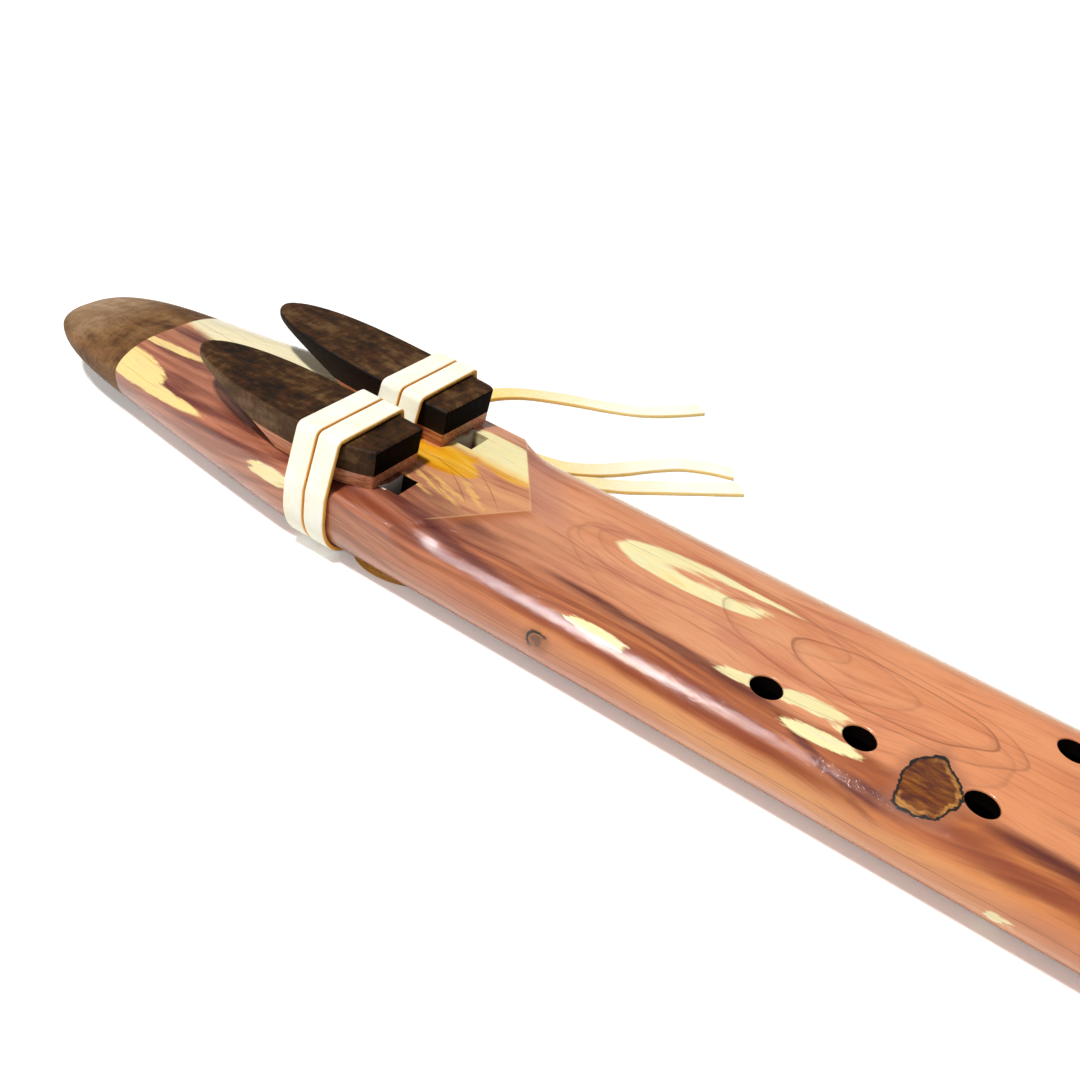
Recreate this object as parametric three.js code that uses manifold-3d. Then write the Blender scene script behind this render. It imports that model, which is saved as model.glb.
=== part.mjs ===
// A double barrelled wooden flute: a cedar body glued up from two routed boards, a walnut
// mouthpiece, and on each barrel a walnut block with a cedar spacer, tied down by a deerskin lace.
// Millimetres. +X runs along the flute towards its foot, +Y to the player's left and +Z up.
// The origin is on the table under the middle of the flute. Places along the flute are first
// given as stations, counted from the sharp edge of the sound holes, and shifted in place().

import * as THREE from 'three';
import { mergeVertices } from 'three/addons/utils/BufferGeometryUtils.js';
import Module from 'manifold-3d';

const wasm = await Module();
wasm.setup();

// Lengths along the flute
const footStation = 318;
const jointLength = 112;
const capLength = 43;

// Body section
const bodyHalfWidth = 34.9;
const boardHeight = 12.7;
const footTopHeight = 11.2;
const nestRise = 1.3;
const lowerRoundWidth = 13;
const lowerRoundHeight = 15;
const footRoundWidth = 14;
const footRoundHeight = 8.9;
const nestRoundSize = 2.5;
const nestBandWidth = 7.9;
const nestBandDrop = 1.2;
const topFlat = 1;
const sideFlat = 0.4;
const endEase = 1;

// Mouth end of the body
const jointHalfWidth = 24.7;
const taperStart = 36;
const jointRoundWidth = 20;
const jointRoundHeight = 11;
const jointDrop = 1.3;
const jointLift = 1.2;
const taperShares = [0.25, 0.5, 0.75];
const taperBendShare = 1.1;

// Front of the nest: a V that points at the foot, with a scooped ramp below it
const nestPoint = 30.7;
const nestSlopeShare = 0.71;
const rampLength = 17;
const rampPlaceShares = [0.1, 0.28, 0.5, 0.74, 1];
const rampHeightShares = [0.72, 0.4, 0.17, 0.04, 0];
const rampEnd = 86;

// Air ways
const barrelSpacing = 36;
const boreRadius = 8;
const plugLength = 20.5;
const soundHoleLength = 5.5;
const soundHoleWidth = 9.5;
const edgeThickness = 0.8;
const edgeRampLength = 5;
const exitHoleLength = 5;
const flueDepth = 1;
const jointBoreSpacing = 25;
const breathHoleRadius = 3.2;
const breathHoleSpacing = 13;
const breathHoleLength = 17;
const pocketDepth = 4;
const fingerHoleRadius = 4.4;
const rightHoleShares = [0.358, 0.437, 0.534, 0.641, 0.723, 0.808];
const leftHoleShares = [0.582, 0.664, 0.748];

// Mouthpiece
const capNarrowShare = 0.2;
const capThinShare = 0.34;
const capBluntShare = 3;
const capPlaceShares = [1, 0.8, 0.6, 0.42, 0.27, 0.15, 0.07, 0.025, 0.004];

// Blocks and spacers
const blockSetBack = 0.5;
const blockHeight = 12.7;
const noseFullShare = 2.9;
const nosePointShare = 0.5;
const blockEdgeEase = 1.2;
const blockFootInset = 0.5;
const spacerHeight = 4.4;
const soleLength = 33;
const noseThickness = 1.8;
const noseSweepShare = 1.9;

// The two blocks are carved by hand, so each has its own outline and sits a little askew. A
// front width is half the block's width there, on the side of the middle or on the outer side.
const rightBlockLength = 74.8;
const rightBlockHalfWidth = 13;
const rightInnerFront = 12.8;
const rightOuterFront = 8.6;
const rightShoulder = 15;
const rightBlockShift = -0.1;
const rightBlockTurnDegrees = -0.9;
const leftBlockLength = 78.4;
const leftBlockHalfWidth = 13.2;
const leftInnerFront = 12.2;
const leftOuterFront = 12.8;
const leftShoulder = 23;
const leftBlockShift = 1.2;
const leftBlockTurnDegrees = -2.3;

// Laces
const laceWidth = 7.2;
const laceThickness = 1.5;
const laceEdgeCut = 0.35;
const clearance = 0.3;
const blockClearance = 0.5;
const turnGap = 0.6;
const frontTurnStation = 18.3;
const laceBend = 1.6;
const bridgeLean = 0.2;
const slotHalfWidth = 2.9;
const slotSideGap = 0.45;
const slotEndGap = 1.4;
const knotRadius = 3.4;
const knotLength = 11.5;
const knotTurnCount = 3;
const knotGroove = 0.5;
const knotInnerOut = 32.3;
const knotSideGap = 3;
const rightTailOut = 17;

// Routes of the free tails of the laces, as offsets from where each one starts. The right and
// the left tail come out from under their barrels. The other two leave the knot one above the
// other and part. All of them lie on the table.
const rightTailRoute = [
  [0, 0, 0], [1.45, -3.3, 0], [4.65, -6.4, 0], [9.15, -8.1, 0], [14.55, -7.7, 0], [20.05, -5.1, 0],
  [27.05, -0.5, 0], [35.05, 4.1, 0], [42.05, 7.1, 0],
];
const leftTailRoute = [
  [0, 0, 0], [1.1, 3.3, 0], [4.2, 10.8, 0], [10, 20.8, 0], [19, 31.6, 0], [30.1, 41.9, 0],
  [39.4, 49.3, 0], [49.1, 59.3, 0], [60.7, 71.1, 0], [70.9, 81.4, 0],
];
const knotBackTailRoute = [
  [0, 0, 0], [-0.3, 3.9, 0.05], [-1.5, 9.9, 0.2], [-3.4, 16.9, -0.15], [-4.8, 24.9, -1.15],
  [-4.9, 33.9, -1.72], [-1.9, 43.9, -1.78], [5.4, 53.9, -1.78], [15.9, 61.9, -1.78],
  [26.4, 68.4, -1.78], [35.9, 73.9, -1.78], [44.9, 80.9, -1.78], [54.9, 93.4, -1.78],
  [60.4, 101.9, -1.78],
];
const knotFrontTailRoute = [
  [0, 0, 0], [0.5, 4.4, 0], [2.6, 9.2, 0], [6.8, 13.2, 0], [12.9, 15.5, 0], [21.4, 16.5, 0],
  [32.9, 17.7, 0], [43.4, 20.9, 0], [51.9, 27.4, 0], [59.2, 36.5, 0], [65.7, 46.9, 0],
  [73.2, 56.7, 0], [82.4, 63.4, 0], [90.9, 67.4, 0],
];

// Facets and cuts
const cutOverrun = 4;
const boreSegments = 28;
const holeSegments = 24;
const roundSteps = 6;
const lowerSteps = 8;
const noseSteps = 18;
const knotSteps = 4;
const bendSteps = 3;
const stripStep = 7;
const tailStep = 5;
const gapSkipRings = 9;

// Values worked out from the sizes above
const overallLength = footStation + jointLength + capLength;
const middleStation = footStation - overallLength / 2;
const bodyBottom = laceThickness + clearance;
const seamHeight = bodyBottom + boardHeight;
const footTop = seamHeight + footTopHeight;
const nestTop = footTop + nestRise;
const blockTop = nestTop + blockHeight;
const sideStart = bodyBottom + lowerRoundHeight;
const barrelY = barrelSpacing / 2;
const turnPitch = laceWidth + turnGap;
const rearTurnStation = frontTurnStation + turnPitch;
const laceStation = (frontTurnStation + rearTurnStation) / 2;
const blockFront = soundHoleLength + blockSetBack;
const flueLength = soleLength - exitHoleLength / 2;
const exitStation = blockFront + flueLength - exitHoleLength;
const chamberEnd = soundHoleLength + plugLength;
const laceMiddle = clearance + laceThickness / 2;
const tableLace = laceThickness / 2;
const crossingLace = tableLace + laceThickness + clearance;
const knotStation = rearTurnStation + turnPitch + knotSideGap;
const knotOuterOut = knotInnerOut + knotLength;
const flatOut = bodyHalfWidth - lowerRoundWidth;

// The two barrels: the sign of Y, the places of the finger holes, and the block's outline and seat
const barrels = [
  {
    name: 'right', side: -1, holeShares: rightHoleShares,
    length: rightBlockLength, halfWidth: rightBlockHalfWidth, shoulder: rightShoulder,
    innerFront: rightInnerFront, outerFront: rightOuterFront,
    shift: rightBlockShift, turn: rightBlockTurnDegrees,
  },
  {
    name: 'left', side: 1, holeShares: leftHoleShares,
    length: leftBlockLength, halfWidth: leftBlockHalfWidth, shoulder: leftShoulder,
    innerFront: leftInnerFront, outerFront: leftOuterFront,
    shift: leftBlockShift, turn: leftBlockTurnDegrees,
  },
];
const [rightBarrel, leftBarrel] = barrels;

// Materials
const cedar = () => new THREE.MeshStandardMaterial({ color: 0xc98a63, roughness: 0.4, metalness: 0 });
const walnut = () => new THREE.MeshStandardMaterial({ color: 0x43362c, roughness: 0.65, metalness: 0 });
const deerskin = () => new THREE.MeshStandardMaterial({ color: 0xf2e6c4, roughness: 0.9, metalness: 0 });

// A station along the flute, counted from the sound holes towards the foot, as an X coordinate
function place(station) {
  return station - middleStation;
}

function mix(from, to, share) {
  return from + (to - from) * share;
}

// Solids are joined and cut as manifolds, and turned back into geometries at the end
function solid(geometry) {
  const bare = geometry.clone();
  bare.deleteAttribute('normal');
  bare.deleteAttribute('uv');
  const merged = mergeVertices(bare);
  const vertProperties = new Float32Array(merged.attributes.position.array);
  const triVerts = new Uint32Array(merged.index.array);
  return new wasm.Manifold(new wasm.Mesh({ numProp: 3, vertProperties, triVerts }));
}

function geometryOf(manifold) {
  const mesh = manifold.getMesh();
  const geometry = new THREE.BufferGeometry();
  geometry.setAttribute('position', new THREE.BufferAttribute(mesh.vertProperties, mesh.numProp));
  geometry.setIndex(new THREE.BufferAttribute(mesh.triVerts, 1));
  return geometry;
}

function box(low, high) {
  const size = new THREE.Vector3().subVectors(high, low);
  const geometry = new THREE.BoxGeometry(size.x, size.y, size.z);
  geometry.translate((low.x + high.x) / 2, (low.y + high.y) / 2, (low.z + high.z) / 2);
  return solid(geometry);
}

// A round bore along X through a list of stops, each a station, a Y place and a radius
function bore(stops) {
  const rings = stops.map(([station, y, radius]) => Array.from({ length: boreSegments }, (_, i) => {
    const angle = (2 * Math.PI * i) / boreSegments;
    return new THREE.Vector3(
      place(station), y + radius * Math.cos(angle), seamHeight + radius * Math.sin(angle));
  }));
  return solid(loft(rings));
}

// A closed skin through rings that have the same number of points, each end closed by a fan
function loft(rings) {
  const count = rings[0].length;
  const points = rings.flat();
  const index = [];
  for (let ring = 0; ring + 1 < rings.length; ring += 1) {
    for (let i = 0; i < count; i += 1) {
      const a = ring * count + i;
      const b = ring * count + ((i + 1) % count);
      index.push(a, b, a + count, b, b + count, a + count);
    }
  }
  const middle = (ring) => ring.reduce((sum, p) => sum.add(p), new THREE.Vector3()).divideScalar(count);
  points.push(middle(rings[0]), middle(rings.at(-1)));
  const last = (rings.length - 1) * count;
  for (let i = 0; i < count; i += 1) {
    const next = (i + 1) % count;
    index.push(points.length - 2, next, i, points.length - 1, last + i, last + next);
  }
  const geometry = new THREE.BufferGeometry();
  geometry.setAttribute('position', new THREE.Float32BufferAttribute(points.flatMap((p) => p.toArray()), 3));
  geometry.setIndex(index);
  return geometry;
}

// The section of the body, described once for the whole flute. Its blend is 1 in the nest and
// 0 towards the foot; its taper is 0 along the barrels and 1 at the joint of the mouthpiece.
function bodySection(station, blend, taper, vShare, inset) {
  const halfWidth = mix(bodyHalfWidth, jointHalfWidth, taper ** taperBendShare) - inset;
  const top = mix(footTop, nestTop, blend) - jointDrop * taper - inset;
  const bottom = bodyBottom + jointLift * taper + inset;
  const roundWidth = mix(mix(footRoundWidth, nestRoundSize, blend), jointRoundWidth, taper);
  const shoulder = top - nestBandDrop * blend * (1 - taper);
  const roundHeight = Math.min(
    mix(mix(footRoundHeight, nestRoundSize, blend), jointRoundHeight, taper),
    shoulder - sideStart - sideFlat);
  const band = mix(roundWidth + topFlat, Math.max(nestBandWidth, roundWidth + topFlat), blend * (1 - taper));
  const half = [[halfWidth - band, top]];
  for (let i = 0; i <= roundSteps; i += 1) {
    const angle = (Math.PI / 2) * (1 - i / roundSteps);
    half.push([
      halfWidth - roundWidth * (1 - Math.cos(angle)),
      shoulder - roundHeight * (1 - Math.sin(angle)),
    ]);
  }
  for (let i = 0; i <= lowerSteps; i += 1) {
    const angle = (Math.PI / 2) * (i / lowerSteps);
    half.push([
      halfWidth - lowerRoundWidth * (1 - Math.cos(angle)),
      mix(sideStart, bottom, Math.sin(angle)),
    ]);
  }
  const point = (out, height, side) => new THREE.Vector3(
    place(station - vShare * nestSlopeShare * out), side * out, height);
  const left = half.map(([out, height]) => point(out, height, 1)).reverse();
  const right = half.map(([out, height]) => point(out, height, -1));
  return [...left, point(0, top, 1), ...right];
}

function bodyRings() {
  const rings = [bodySection(-jointLength, 1, 1, 0, 0)];
  for (const share of [...taperShares].reverse()) {
    rings.push(bodySection(-mix(taperStart, jointLength, share), 1, share, 0, 0));
  }
  rings.push(bodySection(-taperStart, 1, 0, 0, 0));
  rings.push(bodySection(nestPoint, 1, 0, 1, 0));
  rampPlaceShares.forEach((share, i) => {
    rings.push(bodySection(nestPoint + rampLength * share, rampHeightShares[i], 0, 1, 0));
  });
  rings.push(bodySection(rampEnd, 0, 0, 0, 0));
  rings.push(bodySection(footStation - endEase, 0, 0, 0, 0));
  rings.push(bodySection(footStation, 0, 0, 0, endEase));
  return rings;
}

// The sound hole, the bevel under its sharp edge, and the hole where air leaves the chamber
function soundCuts(side) {
  const y = side * barrelY;
  const half = soundHoleWidth / 2;
  const ceiling = nestTop + cutOverrun;
  const hole = box(
    new THREE.Vector3(place(-soundHoleLength), y - half, seamHeight),
    new THREE.Vector3(place(0), y + half, ceiling));
  const exit = box(
    new THREE.Vector3(place(-exitStation - exitHoleLength), y - half, seamHeight),
    new THREE.Vector3(place(-exitStation), y + half, ceiling));
  const bevel = new THREE.Shape([
    new THREE.Vector2(-soundHoleLength / 2, nestTop - edgeThickness),
    new THREE.Vector2(-soundHoleLength / 2, seamHeight),
    new THREE.Vector2(edgeRampLength, seamHeight),
    new THREE.Vector2(edgeRampLength, seamHeight + boreRadius - edgeThickness),
    new THREE.Vector2(0, nestTop - edgeThickness),
  ]);
  const wedge = new THREE.ExtrudeGeometry(bevel, { depth: soundHoleWidth, bevelEnabled: false });
  wedge.rotateX(Math.PI / 2);
  wedge.translate(place(0), y + half, 0);
  return hole.add(exit).add(solid(wedge));
}

function fingerHoles({ side, holeShares }) {
  return holeShares.map((share) => {
    const height = nestTop + cutOverrun - seamHeight;
    const drill = new THREE.CylinderGeometry(fingerHoleRadius, fingerHoleRadius, height, holeSegments);
    drill.rotateX(Math.PI / 2);
    drill.translate(place(footStation * share), side * barrelY, seamHeight + height / 2);
    return solid(drill);
  });
}

// The slot between the barrels, with round ends, that lets the laces through the body
function laceSlot() {
  const front = -frontTurnStation + laceWidth / 2 + slotEndGap;
  const back = -rearTurnStation - laceWidth / 2 - slotEndGap;
  const outline = new THREE.Shape();
  outline.moveTo(place(back) + slotHalfWidth, -slotHalfWidth);
  outline.lineTo(place(front) - slotHalfWidth, -slotHalfWidth);
  outline.absarc(place(front) - slotHalfWidth, 0, slotHalfWidth, -Math.PI / 2, Math.PI / 2, false);
  outline.lineTo(place(back) + slotHalfWidth, slotHalfWidth);
  outline.absarc(place(back) + slotHalfWidth, 0, slotHalfWidth, Math.PI / 2, Math.PI * 1.5, false);
  const depth = nestTop + cutOverrun;
  return solid(new THREE.ExtrudeGeometry(outline, { depth, bevelEnabled: false, curveSegments: roundSteps }));
}

// Everything that is routed or drilled out of the body
function airWays() {
  let cuts = laceSlot();
  for (const barrel of barrels) {
    const y = barrel.side * barrelY;
    const jointY = (barrel.side * jointBoreSpacing) / 2;
    cuts = cuts.add(bore([
      [-soundHoleLength, y, boreRadius],
      [footStation + cutOverrun, y, boreRadius],
    ]));
    cuts = cuts.add(bore([
      [-jointLength - cutOverrun, jointY, boreRadius],
      [-jointLength, jointY, boreRadius],
      [-chamberEnd, y, boreRadius],
    ]));
    cuts = cuts.add(soundCuts(barrel.side));
    for (const hole of fingerHoles(barrel)) {
      cuts = cuts.add(hole);
    }
  }
  return cuts;
}

function bodyHalf(upper) {
  const span = bodyHalfWidth + cutOverrun;
  const low = new THREE.Vector3(place(-jointLength) - cutOverrun, -span, upper ? seamHeight : -cutOverrun);
  const high = new THREE.Vector3(place(footStation) + cutOverrun, span, upper ? blockTop : seamHeight);
  return bodySolid.intersect(box(low, high));
}

// The mouthpiece carries the section of the joint on to a blunt, rounded tip
function mouthpiece() {
  const joint = bodySection(-jointLength, 1, 1, 0, 0);
  const rings = capPlaceShares.map((share) => {
    const blunt = (1 - (1 - share) ** capBluntShare) ** (1 / capBluntShare);
    const across = blunt * (1 - capNarrowShare * (1 - share));
    const upright = blunt * (1 - capThinShare * (1 - share));
    const x = place(-jointLength - capLength * (1 - share));
    return joint.map((p) => new THREE.Vector3(x, p.y * across, mix(seamHeight, p.z, upright)));
  });
  let cap = solid(loft(rings.reverse()));
  const holeEnd = -jointLength - capLength + breathHoleLength;
  for (const { side } of barrels) {
    const breathY = (side * breathHoleSpacing) / 2;
    const jointY = (side * jointBoreSpacing) / 2;
    cap = cap.subtract(bore([
      [-jointLength - capLength - cutOverrun, breathY, breathHoleRadius],
      [holeEnd, breathY, breathHoleRadius],
      [-jointLength - pocketDepth, jointY, boreRadius],
      [-jointLength + cutOverrun, jointY, boreRadius],
    ]));
  }
  return geometryOf(cap);
}

// Half the width of a block on one side, at a share of its length counted from its front
function blockWidthAt(share, side, barrel) {
  const front = side === barrel.side ? barrel.outerFront : barrel.innerFront;
  const shoulder = barrel.shoulder / barrel.length;
  if (share < shoulder) {
    return mix(front, barrel.halfWidth, Math.sin((Math.PI / 2) * (share / shoulder)));
  }
  const towardsNose = (share - shoulder) / (1 - shoulder);
  return barrel.halfWidth * (1 - towardsNose ** noseFullShare) ** nosePointShare;
}

// The outline of a block seen from above, as a ring at one height, drawn in by an inset
function blockRing(height, inset, barrel) {
  const shares = Array.from({ length: noseSteps }, (_, i) => Math.sin((Math.PI / 2) * (i / noseSteps)));
  const at = (share, side) => new THREE.Vector3(
    mix(-inset, inset - barrel.length, share),
    side * (blockWidthAt(share, side, barrel) - inset), height);
  const right = shares.map((share) => at(share, -1)).reverse();
  const left = shares.map((share) => at(share, 1));
  const nose = new THREE.Vector3(inset - barrel.length, 0, height);
  return [nose, ...right, ...left];
}

// The block and its spacer are shaped as one: flat on the nest, then swept up to the nose
function blockBlank(barrel) {
  const blank = solid(loft([
    blockRing(0, blockFootInset, barrel),
    blockRing(blockHeight - blockEdgeEase, 0, barrel),
    blockRing(blockHeight, blockEdgeEase, barrel),
  ]));
  const sweepLength = barrel.length - soleLength;
  const outline = [new THREE.Vector2(-soleLength, 0)];
  for (let i = 1; i <= noseSteps; i += 1) {
    const share = i / noseSteps;
    const rise = (blockHeight - noseThickness) * (1 - (1 - share) ** noseSweepShare);
    outline.push(new THREE.Vector2(-soleLength - sweepLength * share, rise));
  }
  outline.push(new THREE.Vector2(-barrel.length - cutOverrun, blockHeight - noseThickness));
  outline.push(new THREE.Vector2(-barrel.length - cutOverrun, -cutOverrun));
  outline.push(new THREE.Vector2(-soleLength, -cutOverrun));
  const depth = 2 * (barrel.halfWidth + cutOverrun);
  const waste = new THREE.ExtrudeGeometry(new THREE.Shape(outline), { depth, bevelEnabled: false });
  waste.rotateX(Math.PI / 2);
  waste.translate(0, depth / 2, 0);
  return blank.subtract(solid(waste));
}

function slab({ length, halfWidth }, from, to) {
  const reach = halfWidth + cutOverrun;
  return box(
    new THREE.Vector3(-length - cutOverrun, -reach, from),
    new THREE.Vector3(cutOverrun, reach, to));
}

function spacer(barrel) {
  const flue = box(
    new THREE.Vector3(-flueLength, -soundHoleWidth / 2, -cutOverrun),
    new THREE.Vector3(cutOverrun, soundHoleWidth / 2, flueDepth));
  const layer = slab(barrel, -cutOverrun, spacerHeight);
  return geometryOf(blockBlank(barrel).intersect(layer).subtract(flue));
}

function block(barrel) {
  const layer = slab(barrel, spacerHeight, blockHeight + cutOverrun);
  return geometryOf(blockBlank(barrel).intersect(layer));
}

// The cut of a lace: a flat strip with eased edges, as points across its width and thickness
function laceCut() {
  const across = laceWidth / 2;
  const thick = laceThickness / 2;
  return [
    [across, thick - laceEdgeCut], [across - laceEdgeCut, thick],
    [laceEdgeCut - across, thick], [-across, thick - laceEdgeCut],
    [-across, laceEdgeCut - thick], [laceEdgeCut - across, -thick],
    [across - laceEdgeCut, -thick], [across, laceEdgeCut - thick],
  ];
}

// A strip along a chain of points, whose width lies along X all the way
function strip(path) {
  const widthways = new THREE.Vector3(1, 0, 0);
  return path.map((p, i) => {
    const before = path[Math.max(i - 1, 0)];
    const after = path[Math.min(i + 1, path.length - 1)];
    const run = new THREE.Vector3(0, after.y - before.y, after.z - before.z).normalize();
    const outward = new THREE.Vector3().crossVectors(widthways, run);
    return laceCut().map(([across, thick]) => p.clone()
      .addScaledVector(widthways, across)
      .addScaledVector(outward, thick));
  });
}

function arc(centre, radii, from, to, steps) {
  return Array.from({ length: steps + 1 }, (_, i) => {
    const angle = mix(from, to, i / steps);
    return [centre[0] + radii[0] * Math.cos(angle), centre[1] + radii[1] * Math.sin(angle)];
  });
}

// One turn of a lace round a barrel and its block, from the slot's foot up, over and down the
// outer side to the barrel's underside, as distances out from the middle of the body and heights
function turnOutline({ shift, halfWidth }) {
  const slotOut = slotHalfWidth - slotSideGap - laceThickness / 2;
  const middle = barrelY + shift;
  const reach = halfWidth + blockClearance + laceThickness / 2;
  const over = blockTop + laceMiddle;
  const side = Math.max(bodyHalfWidth + laceMiddle, middle + reach);
  const quarter = Math.PI / 2;
  const shoulderRadius = nestRoundSize + laceMiddle;
  const shoulderHeight = nestTop - nestBandDrop - nestRoundSize;
  const bend = [laceBend, laceBend];
  return [
    ...arc([slotOut + laceBend, tableLace + laceBend], bend, -quarter, -2 * quarter, bendSteps),
    [slotOut, nestTop],
    ...arc([middle - reach + laceBend, over - laceBend], bend, 2 * quarter, quarter, bendSteps),
    ...arc([middle + reach - laceBend, over - laceBend], bend, quarter, bridgeLean, bendSteps),
    ...arc([side - shoulderRadius, shoulderHeight], [shoulderRadius, shoulderRadius], bridgeLean, 0, 1),
    ...arc([bodyHalfWidth - lowerRoundWidth, sideStart],
      [lowerRoundWidth + laceMiddle, lowerRoundHeight + laceMiddle], 0, -quarter, lowerSteps),
  ];
}

function onBarrel({ side }, station, [out, height]) {
  return new THREE.Vector3(place(-station), side * out, height);
}

// The two turns of a lace. It moves one pitch along the flute each time it passes below a barrel.
function laceTurns(barrel) {
  const outline = turnOutline(barrel);
  return [frontTurnStation, rearTurnStation].flatMap((station) => outline.map(
    (spot) => onBarrel(barrel, station, spot)));
}

// The right lace: from its free tail round its barrel twice, then below the left barrel to the knot
function rightLacePath() {
  const slotFoot = turnOutline(rightBarrel)[0][0];
  const back = (rightTailOut - slotFoot) / (flatOut - slotFoot);
  return [
    onBarrel(rightBarrel, frontTurnStation - turnPitch * back, [rightTailOut, tableLace]),
    ...laceTurns(rightBarrel),
    onBarrel(rightBarrel, rearTurnStation + turnPitch, [slotFoot, tableLace]),
    onBarrel(leftBarrel, knotStation, [flatOut, tableLace]),
    onBarrel(leftBarrel, knotStation, [knotInnerOut - clearance, tableLace]),
  ];
}

// The left lace: from above the knot round its barrel twice, to where its free tail starts. It
// leans forwards from the knot to its place on the block.
function leftLacePath() {
  const turns = laceTurns(leftBarrel).reverse();
  const climb = turns.slice(turns.findIndex((p) => p.z > 2 * knotRadius + laceMiddle));
  const foot = climb[0].z;
  const above = climb.findIndex((p) => p.z > nestTop);
  climb.slice(0, above).forEach((p) => {
    const share = (p.z - foot) / (nestTop - foot);
    p.setX(place(-mix(knotStation, rearTurnStation, share)));
  });
  return [...climb, onBarrel(leftBarrel, frontTurnStation - turnPitch, [flatOut, tableLace])];
}

// Cuts the long runs of a path into steps, so that its gaps can be measured all along it
function stepped(path) {
  return path.flatMap((p, i) => {
    const from = path[Math.max(i - 1, 0)];
    const steps = Math.max(Math.ceil(p.distanceTo(from) / stripStep), 1);
    return Array.from({ length: steps }, (_, k) => from.clone().lerp(p, (k + 1) / steps));
  });
}

// The least gap between parts of one lace that lie apart along it, from the corners of its
// strip to the edges between them
function leastGap(rings) {
  let least = Infinity;
  const edge = new THREE.Line3();
  const near = new THREE.Vector3();
  rings.forEach((ring, i) => {
    for (let k = i + gapSkipRings; k + 1 < rings.length; k += 1) {
      rings[k].forEach((q, j) => {
        edge.set(q, rings[k + 1][j]);
        ring.forEach((p) => {
          edge.closestPointToPoint(p, true, near);
          least = Math.min(least, p.distanceTo(near));
        });
      });
    }
  });
  return least;
}

function lace(name, path) {
  const rings = strip(stepped(path));
  console.log(`${name}: least gap between its turns ${leastGap(rings).toFixed(2)} mm`);
  return outwards(loft(rings));
}

// Turns a skin the right way out if its faces point inwards
function outwards(geometry) {
  const { position } = geometry.attributes;
  const index = geometry.index.array;
  const corner = (i) => new THREE.Vector3().fromBufferAttribute(position, index[i]);
  let volume = 0;
  for (let i = 0; i < index.length; i += 3) {
    volume += corner(i).dot(corner(i + 1).cross(corner(i + 2)));
  }
  if (volume < 0) {
    index.reverse();
  }
  return geometry;
}

// The knot behind the left barrel: turns of lace wound round each other, lying on the table
function knot() {
  const profile = [new THREE.Vector2(0, 0)];
  const stepCount = knotTurnCount * knotSteps;
  for (let i = 0; i <= stepCount; i += 1) {
    const wave = Math.abs(Math.sin((Math.PI * i) / knotSteps));
    profile.push(new THREE.Vector2(knotRadius - knotGroove * (1 - wave), (knotLength * i) / stepCount));
  }
  profile.push(new THREE.Vector2(0, knotLength));
  return new THREE.LatheGeometry(profile, holeSegments);
}

// A free tail of a lace: a flat strip drawn along its route, with its width kept level. Its
// first cut is square to Y, face to face with what the tail comes out of.
function tail(start, route) {
  const curve = new THREE.CatmullRomCurve3(route.map((p) => new THREE.Vector3(...p).add(start)));
  const steps = Math.ceil(curve.getLength() / tailStep);
  const up = new THREE.Vector3(0, 0, 1);
  const rings = curve.getSpacedPoints(steps).map((p, i) => {
    const run = curve.getTangentAt(i / steps);
    if (i === 0) {
      run.set(0, Math.sign(run.y), 0);
    }
    const widthways = new THREE.Vector3().crossVectors(up, run).normalize();
    const outward = new THREE.Vector3().crossVectors(run, widthways);
    return laceCut().map(([across, thick]) => p.clone()
      .addScaledVector(widthways, across)
      .addScaledVector(outward, thick));
  });
  return outwards(loft(rings));
}

// Where each tail starts: one clearance beyond the end of its lace, or of the knot
function tailStart(end, height) {
  return end.clone().setZ(height).add(new THREE.Vector3(0, Math.sign(end.y) * clearance, 0));
}

function named(name, geometry, material) {
  const mesh = new THREE.Mesh(geometry, material);
  mesh.name = name;
  return mesh;
}

const bodySolid = solid(loft(bodyRings())).subtract(airWays());

const flute = new THREE.Group();
flute.add(named('body_upper_half', geometryOf(bodyHalf(true)), cedar()));
flute.add(named('body_lower_half', geometryOf(bodyHalf(false)), cedar()));
flute.add(named('mouthpiece', mouthpiece(), walnut()));

for (const barrel of barrels) {
  const group = new THREE.Group();
  group.add(named(`${barrel.name}_block`, block(barrel), walnut()));
  group.add(named(`${barrel.name}_spacer`, spacer(barrel), cedar()));
  group.children.forEach((piece) => piece.position.setX(laceStation - blockFront));
  group.position.set(place(-laceStation), barrel.side * (barrelY + barrel.shift), nestTop);
  group.rotation.z = THREE.MathUtils.degToRad(barrel.turn);
  flute.add(group);
}

const rightPath = rightLacePath();
const leftPath = leftLacePath();
flute.add(named('right_lace', lace('right_lace', rightPath), deerskin()));
flute.add(named('left_lace', lace('left_lace', leftPath), deerskin()));
flute.add(named('right_tail', tail(tailStart(rightPath[0], tableLace), rightTailRoute), deerskin()));
flute.add(named('left_tail', tail(tailStart(leftPath.at(-1), tableLace), leftTailRoute), deerskin()));

const knotEnd = onBarrel(leftBarrel, knotStation, [knotOuterOut, 0]);
const backTail = tail(tailStart(knotEnd, crossingLace), knotBackTailRoute);
const frontTail = tail(tailStart(knotEnd, tableLace), knotFrontTailRoute);
flute.add(named('knot_back_tail', backTail, deerskin()));
flute.add(named('knot_front_tail', frontTail, deerskin()));

const laceKnot = named('lace_knot', knot(), deerskin());
laceKnot.position.set(place(-knotStation), knotInnerOut, knotRadius);
flute.add(laceKnot);

export default flute;
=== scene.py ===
import math

import bmesh
import bpy
import numpy as np
from mathutils import Matrix, Vector


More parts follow.
